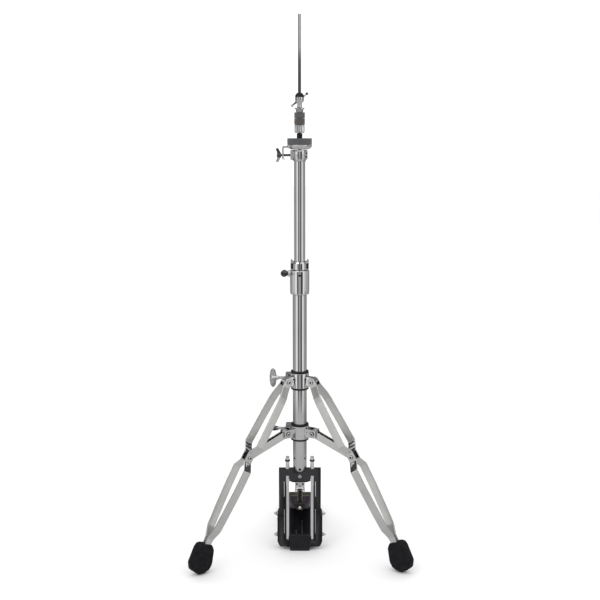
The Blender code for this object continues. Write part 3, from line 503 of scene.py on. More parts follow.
def socket_head(radius, height, socket=0.55, depth=0.6, dome=0.35):
    """A round screw head on Z = 0 with a hexagon socket, as ring pairs for turned()."""
    inner = radius * socket
    floor = height * (1.0 - depth)
    return [(radius, 0.0), (radius, height - dome), (radius - 0.4 * dome, height - 0.3 * dome),
        (radius - dome, height), (inner + 0.15, height), (polygon_radius(6, inner), height - 0.15),
        (polygon_radius(6, inner), floor), (inner * 0.35, floor - 0.1), (0.0, floor - 0.25)]


def hex_nut(radius, height, bore):
    """A chamfered hexagon nut from Z = 0 up, as ring pairs for turned(..., ring=True)."""
    side = polygon_radius(6, radius)
    flat = radius * 0.88
    return [(bore, 0.0), (flat, 0.0), (side, 0.35), (side, height - 0.35), (flat, height),
        (bore + 0.3, height), (bore, height - 0.3)]


def inset_material(obj, mat, placing, radius, low, high):
    """Gives the faces inside a bore (radius and heights in mm, in the bolt's own frame) another material."""
    obj.data.materials.append(MATS[mat])
    index = len(obj.data.materials) - 1
    inverse = placing.inverted()
    for face in obj.data.polygons:
        spot = inverse @ face.center
        if math.hypot(spot.x, spot.y) < radius * MM and low * MM < spot.z < high * MM:
            face.material_index = index


# ---------------------------------------------------------------- column

LOWER_TUBE_R, UPPER_TUBE_R = 14.3, 11.1                  # outside radii
HEIGHT_BOLT_Z, SET_SCREW_Z, TILT_SCREW_Z, CLUTCH_SCREW_Z = 585.0, 583.0, 819.0, 926.0
LOCK_SCREW_X, LOCK_SCREW_Z = 15.1, 600.8
WING_LEAN = -38.0                                        # the clutch bolt's wings lean this far


def build_tubes():
    lower = fillet([(12.7, 164.3), (LOWER_TUBE_R, 164.3), (LOWER_TUBE_R, 590.0), (12.7, 590.0)], 0.35, 3)
    piece("column_lower_tube", turned(lower, 72, ring=True), "chrome", "stand", ["lower_tube"])
    upper = fillet([(9.6, 360.0), (UPPER_TUBE_R, 360.0), (UPPER_TUBE_R, 826.0), (9.6, 826.0)], 0.35, 3)
    piece("column_upper_tube", turned(upper, 72, ring=True), "chrome", "upper_column", ["upper_tube"])
    screw = turned([(0.0, -0.6), (2.5, -0.6), (2.5, 0.3), (2.2, 0.9), (1.3, 1.2),
        (polygon_radius(4, 1.1), 1.15), (polygon_radius(4, 0.8), 0.3), (0.0, 0.2)], 24)
    # painted shade: the screw takes the near-black recess finish
    piece("tube_stop_screw", screw, "painted_recess_shade", "stand", matrix=at(0, -LOWER_TUBE_R, 176.5) @ turn(90, "X"))


def build_height_collar():
    """Polished casting at the top of the lower tube: fluted barrel, bolt boss and a set screw."""
    def barrel(radius):
        """The radius by angle, with three shallow upright flutes on each side of the front."""
        def by_angle(angle):
            off_front = abs(math.degrees(angle) - 270.0)
            flutes = sum(math.exp(-((off_front - centre) / 2.2) ** 2) for centre in (35.0, 48.0, 63.0))
            return radius - 0.55 * flutes
        return by_angle

    outline = fillet([(14.6, 543.2), (18.0, 543.2), (18.9, 544.6), (19.3, 551.0), (19.5, 580.0),
        (19.2, 590.6), (18.2, 592.0), (14.6, 592.0)], 1.6, 5)
    outside = [(barrel(r) if r > 18.6 else r, z) for r, z in outline]
    boss = turned([(0.0, -23.5), (5.9, -23.5), (6.5, -22.9), (6.6, -18.5), (8.4, -16.0), (0.0, -16.0)], 48)
    seam = brick((-0.5, -21.0, 586.0), (0.5, -18.0, 593.0))
    screw_well = plug(2.3, -21.0, -16.6, 28)
    bolt_way = plug(3.3, -40, -10, 32)
    casting = carved(turned(outside, 192, ring=True), ("+", moved(boss, at(0, 0, HEIGHT_BOLT_Z) @ TO_X)),
        ("-", moved(bolt_way, at(0, 0, HEIGHT_BOLT_Z) @ TO_X)), ("-", seam),
        ("-", moved(screw_well, at(0, 0, SET_SCREW_Z) @ TO_Y)), bevel=0.35, angle=50.0)
    obj = piece("height_collar_casting", casting, "chrome", "stand", ["height_collar"])
    # painted shade: near-black in the set-screw well and on the set screw
    inset_material(obj, "painted_recess_shade", at(0, 0, SET_SCREW_Z) @ TO_Y, 2.5, -18.9, -16.0)
    piece("height_collar_set_screw", turned(socket_head(2.0, 1.6, 0.6, 0.8, 0.2), 24), "painted_recess_shade", "stand",
        matrix=at(0, -16.7, SET_SCREW_Z) @ turn(90, "X"))


def build_memory_lock():
    """Split ring with a flared ear each side; a socket screw is sunk in each ear."""
    ring = turned(fillet([(11.4, 592.3), (15.6, 592.3), (16.0, 594.0), (15.8, 606.0), (14.6, 608.6),
        (12.6, 609.4), (11.4, 609.4)], 0.8, 3), 96, ring=True)
    steps = []
    for side in (-1, 1):
        ear = [(side * 11.6, 593.2), (side * 17.4, 593.2), (side * 18.3, 595.5), (side * 18.1, 611.0),
            (side * 17.0, 613.0), (side * 15.4, 612.4), (side * 12.2, 607.6)]
        steps.append(("+", slab(fillet(ear, 1.2, 3), -7.0, 7.0)))
    for side in (-1, 1):
        pocket = mirrored([(2.4, 595.2, 2.3), (2.4, 606.4, 2.3)], 5)
        steps.append(("-", moved(slab(pocket, -9.0, -3.4), at(side * LOCK_SCREW_X, 0, 0))))
    steps.append(("-", plug(11.4, 580, 620, 72)))
    steps.append(("-", brick((-0.8, -22.0, 580.0), (0.8, -12.4, 620.0))))
    obj = piece("memory_lock_casting", carved(ring, *steps, bevel=0.4), "chrome", "upper_column",
        ["memory_lock"])
    # painted shade: near-black on the split's walls and in the screw pockets
    inset_material(obj, "painted_recess_shade", at(0, -13.4, 0), 1.9, 592.0, 612.0)
    for tag, side in SIDES:
        inset_material(obj, "painted_recess_shade", at(side * LOCK_SCREW_X, 0, LOCK_SCREW_Z) @ TO_Y, 5.2, -6.6, -3.2)
        piece(f"memory_lock_{tag}_screw", turned(socket_head(2.2, 2.6), 36), "dark_steel", "upper_column",
            matrix=at(side * LOCK_SCREW_X, -3.5, LOCK_SCREW_Z) @ turn(90, "X"))


def leaf_wing(sign, root, tip, half_span, thick):
    """One wing of a wing bolt: a rounded leaf that swells to its rim, standing off the hub along Z."""
    outline = []
    for index in range(17):
        angle = math.pi * index / 16
        outline.append((tip + (root - tip) * 0.5 * (1 + math.cos(angle)),
            half_span * math.sin(angle) ** 0.8))
    points = [(x, sign * z) for x, z in outline]
    return slab(points if sign > 0 else points[::-1], -thick / 2, thick / 2, 0.45 * thick, 3)


def wing_bolt(name, body, replaced, placing, tip_x, hub_x, wing_x, hub_r=5.2, dark=False):
    """Cast wing bolt along X: a domed, waisted hub, two dished leaf wings and a threaded shank."""
    hub = turned(fillet([(0.0, wing_x - 5.2), (hub_r * 0.7, wing_x - 5.0), (hub_r, wing_x - 2.5),
        (hub_r, wing_x + 3.0), (hub_r * 0.8, hub_x - 1.5), (hub_r * 0.86, hub_x), (0.0, hub_x)], 1.0, 3,
        closed=False), 48)
    parts = []
    for sign in (-1, 1):
        wing = leaf_wing(sign, wing_x - 7.2, wing_x + 7.2, 20.4, 4.0)
        hollows = []
        for face in (-1, 1):
            hollow = leaf_wing(sign, wing_x - 5.6, wing_x + 5.6, 18.6, 1.2)
            hollows.append(("-", moved(hollow, at(0, face * 2.0, 0))))
        parts.append(carved(wing, *hollows))
    threads = [(0.0, hub_x - 1.0), (2.5, hub_x - 1.0)]
    x = hub_x
    while x < tip_x - 1.2:
        threads += [(3.0, x + 0.3), (2.6, x + 0.8)]
        x += 1.0
    threads += [(2.6, tip_x - 0.6), (1.9, tip_x), (0.0, tip_x)]
    shank = turned(threads, 32)
    solid = carved(moved(hub, TO_X), ("+", parts[0]), ("+", parts[1]), ("+", moved(shank, TO_X)), bevel=0.5,
        angle=55.0)
    obj = piece(name, solid, "chrome", body, replaced, placing, sharp=45.0)
    # painted reflection: with dark set, the hub and wings take the near-black chrome while the shank stays
    # bright
    if dark:
        inset_material(obj, "shade_painted_chrome", placing @ TO_X, 60.0, wing_x - 9.0, wing_x + 7.4)


def build_tilter():
    """The casting under the cup, its lugs, pinch screws, and the hook-armed tilting cup."""
    profile = fillet([(5.0, 826.6), (11.3, 826.6), (11.3, 807.2), (12.2, 807.2), (13.0, 811.0),
        (14.1, 820.0), (14.5, 826.0), (14.3, 829.0), (5.0, 829.0)], 0.6, 3)
    steps = []
    left = [(-18.0, 810.5), (-12.0, 808.4), (-12.0, 829.0), (-18.2, 829.0)]
    right = [(12.0, 811.0), (14.9, 810.4), (15.6, 812.0), (15.6, 827.6), (14.8, 829.0), (12.0, 829.0)]
    steps.append(("+", slab(fillet(left, 1.6, 3), -6.8, 6.8)))
    steps.append(("+", slab(fillet(right, 0.9, 3), -6.2, 6.2)))
    bore = [(0, -30), (2.9, -30), (2.9, -11.8), (0, -11.8)]
    steps.append(("-", moved(turned(bore, 32), at(0, 0, TILT_SCREW_Z) @ TO_X)))
    pinch_screws = (("low", 816.0), ("high", 822.6))
    for _, z in pinch_screws:
        well = plug(1.8, -9.0, -4.8, 24)
        steps.append(("-", moved(well, at(13.4, 0, z) @ TO_Y)))
    for x in (-5.2, 5.2):
        groove = turned([(0, 806.0), (1.1, 806.0), (1.1, 820.0), (0, 821.5)], 20)
        steps.append(("-", moved(groove, at(x, -13.2, 0))))
    piece("tilter_casting", carved(turned(profile, 96, ring=True), *steps, bevel=0.45), "chrome",
        "upper_column", ["tilter_base"])
    for tag, z in pinch_screws:
        piece(f"tilter_{tag}_screw", turned(socket_head(1.6, 1.6, 0.55, 0.7, 0.25), 24), "dark_steel",
            "upper_column", matrix=at(13.4, -4.9, z) @ turn(90, "X"))

    dish = fillet([(6.4, 830.0), (15.4, 830.0), (20.6, 831.6), (23.6, 835.0), (24.2, 838.4), (23.8, 839.0),
        (22.4, 839.0), (21.8, 838.0), (21.0, 835.4), (6.4, 834.6)], 1.2, 4)
    arm = fillet([(-21.0, 833.0), (-31.2, 833.2), (-31.2, 812.0), (-29.4, 809.6), (-28.6, 810.4),
        (-30.2, 812.6), (-33.0, 810.2), (-34.2, 812.4), (-34.2, 834.0), (-32.2, 836.6), (-21.0, 836.4)],
        [0, 1.2, 1.4, 0.5, 0.5, 1.0, 1.0, 1.2, 1.2, 1.6, 0], 3)
    hole = moved(plug(4.2, -45, -27, 36), at(0, 0, TILT_SCREW_Z) @ TO_X)
    cup = carved(turned(dish, 96, ring=True), ("+", slab(arm, -6.0, 6.0)), ("-", hole), bevel=0.5,
        angle=50.0)
    piece("tilting_cup", cup, "chrome", "seat", ["tilt_cup"])

    sleeve = [(4.3, 831.0), (6.0, 831.0), (6.0, 838.0), (5.5, 838.6), (5.5, 846.0)]
    for z in range(848, 861, 3):
        sleeve += [(5.5, z), (5.25, z + 0.4), (5.25, z + 0.9), (5.5, z + 1.3)]
    sleeve += [(5.1, 861.4), (4.3, 861.4)]
    piece("seat_rod_sleeve", turned(sleeve, 48, ring=True), "black_plastic", "seat", ["seat_sleeve"])

    screw = [(0.0, -44.6), (3.6, -44.6), (4.6, -43.6), (5.0, -41.0), (4.2, -37.6), (4.9, -36.4),
        (2.3, -36.2)]
    x = -36.0
    while x < -16.0:
        screw += [(2.4, x), (2.05, x + 0.5)]
        x += 1.0
    screw += [(1.6, -14.8), (0.0, -14.6)]
    wings = []
    for sign in (-1, 1):
        blade = [(-38.0, 1.0), (-37.2, 5.0), (-41.6, 13.0), (-44.4, 14.0), (-46.6, 11.6), (-43.4, 4.0),
            (-43.6, 1.0)]
        points = [(x, sign * z) for x, z in fillet(blade, [0, 2, 2, 1.5, 1.5, 3, 0], 4)]
        wings.append(("+", slab(points, -1.7, 1.7, 0.6)))
    bolt = carved(moved(turned(screw, 36), TO_X), *wings, bevel=0.35, angle=55.0)
    # painted reflection: the bolt is near-black chrome, with a painted highlight of plain chrome on its
    # lower wing
    obj = piece("tilt_wing_bolt", bolt, "shade_painted_chrome", "tilt_screw", ["tilt_wing_screw"],
        at(0, 0, TILT_SCREW_Z), sharp=45.0)
    inset_material(obj, "chrome", at(-42.0, 0, 808.0), 8.0, -8.0, 6.0)


def felt_disc(name, node, body, radius, bore, low, high, mat, seed):
    """A pressed felt washer: soft edges and a slightly uneven, fibrous outside."""
    rings = fillet([(bore, low), (radius, low), (radius, high), (bore, high)], 1.1, 5)
    dense = []
    for (r0, z0), (r1, z1) in zip(rings, rings[1:] + rings[:1]):
        parts = max(1, int(math.hypot(r1 - r0, z1 - z0) / 0.9))
        dense += split_line((r0, z0), (r1, z1), parts)
    bm = turned(dense, 120, ring=True)
    dice = random.Random(seed)
    bm.normal_update()
    for vert in bm.verts:
        radial = math.hypot(vert.co.x, vert.co.y)
        if radial > (bore + 0.6) * MM:
            vert.co -= vert.normal * dice.random() * 0.22 * MM
    obj = piece(name, bm, mat, body, [node], sharp=180.0)


def build_clutch():
    felt_disc("seat_felt_pad", "seat_felt", "seat", 24.2, 6.1, 839.2, 851.6, "felt", 11)
    felt_disc("clutch_upper_pad", "clutch_upper_felt", "clutch", 10.4, 5.4, 889.3, 901.0, "felt", 12)
    felt_disc("clutch_lower_pad", "clutch_lower_felt", "clutch", 10.4, 5.4, 877.3, 889.0, "felt_brown", 13)

    stem = [(3.4, 866.0), (4.7, 866.0), (5.0, 866.5), (5.0, 911.4), (4.4, 912.6), (4.3, 914.6),
        (4.9, 918.4), (6.6, 921.0), (8.2, 921.6), (8.7, 922.2), (8.7, 923.3), (8.2, 923.6), (8.2, 924.3),
        (8.7, 924.6), (8.7, 929.6), (8.3, 930.0), (3.4, 930.0)]
    screw_bore = moved(plug(2.3, 1.0, 12.0, 28), at(0, 0, CLUTCH_SCREW_Z) @ TO_Y)
    steps = [("-", screw_bore)]
    for angle in range(0, 360, 30):
        cut = brick((7.9, -0.7, 924.9), (9.6, 0.7, 931.0))
        steps.append(("-", moved(cut, turn(angle + 15, "Z"))))
    obj = piece("clutch_stem", carved(turned(stem, 84, ring=True), *steps, bevel=0.25, angle=50.0),
        "chrome", "clutch", ["clutch_body"])
    inset_material(obj, "satin_steel", at(0, 0, 0), 11.0, 921.2, 931.0)
    cap = fillet([(3.4, 930.3), (8.8, 930.3), (8.8, 931.6), (8.0, 934.0), (6.2, 936.4), (4.4, 938.0),
        (3.4, 938.0)], 1.0, 4)
    piece("clutch_dome_cap", turned(cap, 72, ring=True), "black_plastic", "clutch", ["clutch_cap"])
    nut = [(5.3, 901.3), (polygon_radius(6, 7.0), 901.3), (polygon_radius(6, 7.3), 901.9),
        (polygon_radius(6, 7.3), 906.6), (6.6, 907.2), (9.2, 907.2), (9.6, 907.7), (9.6, 909.0),
        (9.0, 909.6), (6.4, 909.8), (5.3, 909.8)]
    piece("clutch_flanged_nut", turned(nut, 96, ring=True), "chrome", "clutch", ["clutch_flange_nut"])
    flutes = fluted_radius(10.0, 10, 0.95)
    lower = [(5.3, 862.0), (8.9, 862.0), (9.4, 862.6), (9.4, 863.4), (flutes, 864.0), (flutes, 875.2),
        (9.4, 875.8), (9.4, 876.4), (8.9, 877.0), (5.3, 877.0)]
    piece("clutch_fluted_nut", turned(lower, 160, ring=True), "chrome", "bottom_nut", ["clutch_bottom_nut"])

    lean = turn(WING_LEAN, "Y")
    shaft = [(0.0, 3.7), (1.5, 3.8), (2.0, 4.3), (2.0, 9.6), (3.4, 10.0), (4.2, 10.8), (4.2, 19.4),
        (3.4, 20.6), (0.0, 21.0)]
    wings = [("+", moved(turned([(0.0, -19.0), (1.3, -19.0), (1.7, -12.0), (2.6, -5.0), (2.9, 0.0),
        (2.6, 5.0), (1.7, 12.0), (1.3, 19.0), (0.0, 19.0)], 28), at(0, 18.0, 0) @ lean @ TO_X))]
    for sign in (-1, 1):
        knob = turned([(0.0, -2.6), (1.6, -2.3), (2.6, -0.8), (2.6, 0.8), (1.6, 2.3), (0.0, 2.6)], 28)
        wings.append(("+", moved(knob, at(0, 18.0, 0) @ lean @ at(sign * 18.2, 0, 0))))
    # painted reflection: near-black chrome, with painted highlights of plain chrome on two stretches of the
    # wing bar
    obj = piece("clutch_wing_bolt", carved(moved(turned(shaft, 36), TO_Y), *wings, bevel=0.2, angle=60.0),
        "shade_painted_chrome", "clutch_screw", ["clutch_wing_screw"], at(0, 0, CLUTCH_SCREW_Z), sharp=50.0)
    bar = at(0, 18.0, CLUTCH_SCREW_Z) @ lean @ TO_X
    inset_material(obj, "chrome", bar, 3.2, -19.5, -15.0)
    inset_material(obj, "chrome", bar, 3.2, 4.0, 15.6)


def build_rod():
    """The long pull rod: ground steel with a turned, domed tip."""
    upper = [(0.0, 300.15), (2.6, 300.15), (3.0, 300.6), (3.0, 1083.6), (2.9, 1084.4), (2.5, 1084.9),
        (0.0, 1085.0)]
    piece("pull_rod_upper", turned(upper, 40), "rod_steel", "pull_rod", ["upper_pull_rod"])


# ---------------------------------------------------------------- legs and their collars

# pins are (distance from the column's axis, height)
AZIMUTHS = {"left": 211.2, "right": 331.2}
TOP_PIN, WAIST, STRUT_PIN, FOOT_END = (31.0, 365.0), (122.0, 222.0), (33.0, 256.0), (220.0, 53.0)
CLOSE, HALF_WIDTH = 7.7, 8.5                             # a strap's offset at its pins, and half its width
CLAMP_BOLT_Y, UPPER_BOLT_Z, LOWER_BOLT_Z = 24.0, 362.5, 253.3


def build_bushing(name, node, low, high, body):
    """Black nylon liner: a flanged ring with a rounded lip above and below the clamp."""
    profile = [(14.6, low), (17.3, low), (18.3, low + 0.8), (18.3, low + 3.4), (17.9, low + 3.6),
        (16.3, low + 3.6), (16.3, high - 3.6), (17.9, high - 3.6), (18.3, high - 3.4), (18.3, high - 0.8),
        (17.3, high), (14.6, high)]
    piece(name, turned(fillet(profile, 0.5, 3), 84, ring=True), "black_plastic", body, [node])


def build_collar(name, node, body, low, high, pin, fork, bolt_z):
    """Clamp casting: barrel, one ear per leg, and the split lug behind for its wing bolt."""
    barrel = fillet([(16.6, low), (18.6, low), (18.6, high), (16.6, high)], 0.7, 3)
    steps = []
    half = 9.5 if fork else 5.7
    reach = 41.0 if fork else 39.5
    r, z = pin
    for azimuth in AZIMUTHS.values():
        spin = turn(azimuth, "Z")
        if fork:
            side = [(14.0, z - 9.0), (reach - 1.5, z - 8.4), (reach, z - 6.5), (reach, z + 6.5),
                (reach - 1.5, z + 8.4), (14.0, z + 9.0)]
            outline = fillet(side, [0, 2.5, 2.5, 2.5, 2.5, 0], 4)
        else:
            side = [(14.0, z - 8.8), (r + 1.0, z - 8.8), (r + 8.4, z - 4.0), (r + 8.4, z + 4.0),
                (r + 1.0, z + 8.8), (14.0, z + 8.8)]
            outline = fillet(side, [0, 5.0, 5.0, 5.0, 5.0, 0], 5)
        steps.append(("+", moved(slab(outline, -half, half), spin)))
    lug = fillet([(-29.6, -11.3), (-4.0, -11.3), (-4.0, 11.3), (-29.6, 11.3)], [3.5, 0, 0, 3.5], 4)
    steps.append(("+", moved(slab(lug, 8.0, 31.0), at(0, 0, bolt_z))))
    steps.append(("-", plug(16.6, low - 9, high + 9, 96)))
    steps.append(("-", brick((-16.0, 2.0, low - 9), (-13.6, 60.0, high + 9))))
    bolt_way = plug(3.3, -60, 20, 32)
    steps.append(("-", moved(bolt_way, at(0, CLAMP_BOLT_Y, bolt_z) @ TO_X)))
    for azimuth in AZIMUTHS.values():
        spin = turn(azimuth, "Z")
        hole = plug(3.1, -20, 20, 32)
        steps.append(("-", moved(hole, spin @ at(r, 0, z) @ TO_Y)))
        if fork:
            steps.append(("-", moved(brick((23.0, -6.0, z - 20), (60.0, 6.0, z + 20)), spin)))
            for tip in (1, -1):
                seat = plug(5.5, half - 1.0, half + 4, 36)
                steps.append(("-", moved(seat, spin @ at(r, 0, z) @ turn(-90.0 * tip, "X"))))
    dimples = [turn(side * 5.4 * 7.4, "Z") @ at(0, 0, (low + high) / 2 + 3.6) @ TO_Y for side in (-1, 1)]
    for place in dimples:
        dimple = turned([(0, -24.0), (1.6, -24.0), (1.6, -17.2), (0, -17.0)], 20)
        steps.append(("-", moved(dimple, place)))
    casting = carved(turned(barrel, 96, ring=True), *steps, bevel=0.55, angle=42.0)
    obj = piece(name, casting, "chrome", body, [node])
    # painted shade: near-black on the dimple floors
    for place in dimples:
        inset_material(obj, "painted_recess_shade", place, 1.75, -18.5, -16.8)
    inset_material(obj, "bright_steel", at(0, 22.0, bolt_z) @ TO_X, 13.0, -31.0, -3.0)


def build_pin(name, node, body, where, half, azimuth):
    """Shoulder bolt across a leg: socket head on one side, hexagon nut with its thread on the other."""
    r, z = where
    placing = turn(azimuth, "Z") @ at(r, 0, z)
    head_side = 1 if azimuth < 270.0 else -1
    shank = turned([(0.0, -half - 3.2), (2.1, -half - 3.2), (2.6, -half - 2.8), (2.6, half - 0.2),
        (0.0, half - 0.2)], 32)
    washer = turned([(2.6, -half - 0.7), (4.4, -half - 0.7), (4.6, -half - 0.4), (4.6, -half),
        (2.6, -half)], 40, ring=True)
    head = moved(turned(socket_head(4.1, 2.6, 0.55, 0.7, 0.7), 48), at(0, 0, half))
    nut = moved(turned(hex_nut(4.5, 2.0, 2.6), 48, ring=True), at(0, 0, -half - 2.7))
    bolt = carved(shank, ("+", head), ("+", nut), ("+", washer))
    turn_out = TO_Y if head_side > 0 else turn(90.0, "X")
    obj = piece(name, bolt, "chrome", body, [node], placing @ turn_out)
    # painted shade: near-black inside the socket
    inset_material(obj, "painted_recess_shade", placing @ turn_out, 2.35, half + 0.2, half + 2.5)


def build_strap(name, node, body, side, azimuth):
    """A strap bent from flat strip: rounded edges, a round end, and smooth sets at its bends."""
    top, waist, end = Vector(TOP_PIN), Vector(WAIST), Vector(FOOT_END)
    upper, lower = (waist - top), (end - waist)
    upper_length, lower_length = upper.length, lower.length
    upper.normalize()
    lower.normalize()
    across = Vector((-(upper + lower).y, (upper + lower).x)).normalized()
    total = upper_length + lower_length
    bends = [(-8.5, CLOSE, 0), (11.0, CLOSE, 7), (33.0, 16.5, 9), (45.0, 18.6, 30), (90.0, 21.2, 60),
        (143.0, 23.4, 5), (upper_length - 10.0, CLOSE, 5), (upper_length + 10.0, CLOSE, 5),
        (upper_length + 26.0, 21.6, 5), (upper_length + 66.0, 21.2, 60), (upper_length + 108.0, 18.4, 60),
        (total - 40.0, 14.2, 22), (total - 20.0, 4.6, 10), (total, 4.6, 0)]
    path = fillet([(s, o) for s, o, _ in bends], [r for _, _, r in bends], 5, closed=False)
    finer = [path[0]]
    for first, second in zip(path, path[1:]):
        near_waist = abs((first[0] + second[0]) / 2 - upper_length) < 32.0
        parts = max(1, math.ceil((second[0] - first[0]) / 1.2)) if near_waist else 1
        finer += split_line(first, second, parts, 1)
    dense = []
    for angle in range(0, 90, 15):
        s = -HALF_WIDTH * math.cos(math.radians(angle))
        dense.append((s, CLOSE, max(0.6, HALF_WIDTH * math.sin(math.radians(angle)))))
    dense += [(s, o, HALF_WIDTH) for s, o in finer if s > 0.5]
    rows = []
    for s, offset, half in dense:
        if s > total - 40.0:
            half = HALF_WIDTH * (1.0 - 0.3 * (s - total + 40.0) / 40.0)
        point = top + upper * s if s < upper_length else waist + lower * (s - upper_length)
        rows.append((point, side * offset, half))
    bm = bmesh.new()
    rings = []
    thick, round_r = 1.5, 0.7
    for index, (point, offset, half) in enumerate(rows):
        first, last = rows[max(0, index - 1)], rows[min(len(rows) - 1, index + 1)]
        run = Vector((last[0].x - first[0].x, last[1] - first[1], last[0].y - first[0].y)).normalized()
        wide = Vector((across.x, 0.0, across.y))
        deep = wide.cross(run).normalized()
        middle = Vector((point.x, offset, point.y))
        ring = []
        r = min(round_r, half * 0.5)
        for cx, cy, begin in ((half - r, thick - r, 0), (r - half, thick - r, 90),
                (r - half, r - thick, 180), (half - r, r - thick, 270)):
            for step in (0, 45, 90):
                angle = math.radians(begin + step)
                spot = middle + wide * (cx + r * math.cos(angle)) + deep * (cy + r * math.sin(angle))
                ring.append(bm.verts.new(spot * MM))
            if begin in (0, 180):              # two extra lines of points along each wide face
                for share in (1 / 3, -1 / 3):
                    spot = middle + (wide * cx * share + deep
                        * (cy + r * math.sin(math.radians(begin + 90))))
                    ring.append(bm.verts.new(spot * MM))
        rings.append(ring)
    skin(bm, rings)
    obj = piece(name, bm, "satin_steel", body, [node], turn(azimuth, "Z"), sharp=60.0)
    # painted reflection and shade: dark bands and stripes on the joggles and near-black inward faces by the
    # pins; the joggles also get polished bright steel
    for extra in ("bright_steel", "painted_recess_shade", "dark_steel"):
        obj.data.materials.append(MATS[extra])
    bright, painted_recess_shade, dark = 1, 2, 3              # their places after the satin steel
    inverse = turn(-azimuth, "Z")
    for face in obj.data.polygons:
        spot = inverse @ face.center
        flat = Vector((spot.x, spot.z)) / MM
        past_waist, past_top = (flat - waist).dot(lower), (flat - top).dot(upper)
        before_waist = (waist - flat).dot(upper)
        facing = (inverse.to_3x3() @ face.normal).y * side
        inward = facing < -0.5
        lean = (flat - waist - lower * past_waist).dot(across) / HALF_WIDTH
        lean = -lean if azimuth < 270.0 else lean
        shaded = 10.5 + 4.0 * (1.0 - lean) < past_waist < 25.0 - 2.0 * lean
        # painted reflection: a dark band across the lower joggle's outer face
        if shaded and facing > 0.3 and 9.0 < past_waist < 27.0:
            face.material_index = dark
        # painted reflection: three dark stripes across the upper joggle's inward face
        elif inward and any(low < before_waist < low + 3.0 for low in (10.0, 16.0, 22.0)):
            face.material_index = dark
        elif 9.0 < abs(past_waist) < 27.0:
            face.material_index = bright
        # painted shade: near-black on the inward faces by the pins
        elif inward and (abs(past_waist) < 7.0 or past_top < 9.0):
            face.material_index = painted_recess_shade


def build_strut(name, node, body, azimuth):
    """Upward-open pressed channel from the lower collar to the waist, slotted for the waist bolt."""
    inner, outer = Vector(STRUT_PIN), Vector(WAIST)
    length = (outer - inner).length
    slope = math.degrees(math.atan2(inner.y - outer.y, outer.x - inner.x))
    placing = turn(azimuth, "Z") @ at(inner.x, 0, inner.y) @ turn(slope, "Y")

    def stadium(right, left, radius):
        """An outline with a half circle round each of two centres."""
        points = []
        for centre, first in ((right, -90.0), (left, 90.0)):
            for index in range(13):
                angle = math.radians(first + 15.0 * index)
                points.append((centre + radius * math.cos(angle), radius * math.sin(angle)))
        return points

    outline = stadium(length, 0.0, 7.5)
    slot = stadium(length + 0.8, length - 7.6, 4.7)
    steps = [("-", brick((7.0, -2.1, -5.4), (length - 15.0, 2.1, 30.0), 1.0)),
        ("-", moved(plug(3.1, -20, 20, 32), TO_Y)), ("-", slab(slot, -20.0, 20.0))]
    channel = carved(slab(outline, -5.5, 5.5), *steps, bevel=0.6, angle=42.0)
    obj = piece(name, channel, "satin_steel", body, [node], placing)
    # painted shade: near-black on the channel's inside and over the slotted end
    obj.data.materials.append(MATS["painted_recess_shade"])
    inverse = placing.inverted()
    for face in obj.data.polygons:
        spot = inverse @ face.center
        in_channel = 7.0 < spot.x / MM < length - 15.0 and abs(spot.y) < 2.25 * MM and spot.z > -6.0 * MM
        if in_channel or spot.x / MM > length - 13.0:
            face.material_index = 1


def build_foot(name, node, body, azimuth):
    """Moulded rubber foot: rounded block with a collar round the straps and rows of grip teeth."""
    outline = [(203.5, 46.0), (206.0, 54.5), (213.0, 59.5), (229.0, 65.0), (235.5, 64.5), (241.0, 58.0),
        (255.4, 27.0), (254.6, 14.5), (238.0, 0.6), (228.0, 0.1), (215.0, 5.6), (208.6, 15.0)]
    shape = fillet(outline, [6, 6, 8, 6, 5, 8, 5, 3, 5, 5, 3, 5], 4)
    middle = Vector((230.0, 32.0))
    perimeter = []
    for (x0, z0), (x1, z1) in zip(shape, shape[1:] + shape[:1]):
        parts = max(1, round(math.hypot(x1 - x0, z1 - z0) / 0.55))
        perimeter += [Vector(point) for point in split_line((x0, z0), (x1, z1), parts)]
    layers = [(-11.0, 0.80), (-10.7, 0.87), (-9.8, 0.92), (-8.4, 0.955), (-6.0, 0.985), (-3.0, 1.0),
        (0.0, 1.0), (3.0, 1.0), (6.0, 0.985), (8.4, 0.955), (9.8, 0.92), (10.7, 0.87), (11.0, 0.80)]
    bm = bmesh.new()
    rings = []
    for depth, share in layers:
        ring = []
        for point in perimeter:
            angle = math.degrees(math.atan2(point.y - middle.y, point.x - middle.x))
            tooth = 0.0
            if -150.0 < angle < -36.0 and abs(depth) < 10.5:
                tooth = 1.7 * (0.5 - 0.5 * math.cos(math.radians(angle * 60.0)))
            radial = (point - middle)
            spot = middle + radial * share - radial.normalized() * tooth
            ring.append(bm.verts.new((spot.x * MM, depth * MM, spot.y * MM)))
        rings.append(ring)
    skin(bm, rings)
    lower = (Vector(FOOT_END) - Vector(WAIST)).normalized()
    lean = math.degrees(math.atan2(-lower.y, lower.x))
    pocket = brick((-46.0, -6.5, -9.1), (1.0, 6.5, 9.1))
    moved(pocket, at(FOOT_END[0], 0, FOOT_END[1]) @ turn(lean, "Y"))
    foot = carved(bm, ("-", pocket))
    piece(name, foot, "rubber", body, [node], turn(azimuth, "Z"), sharp=42.0)


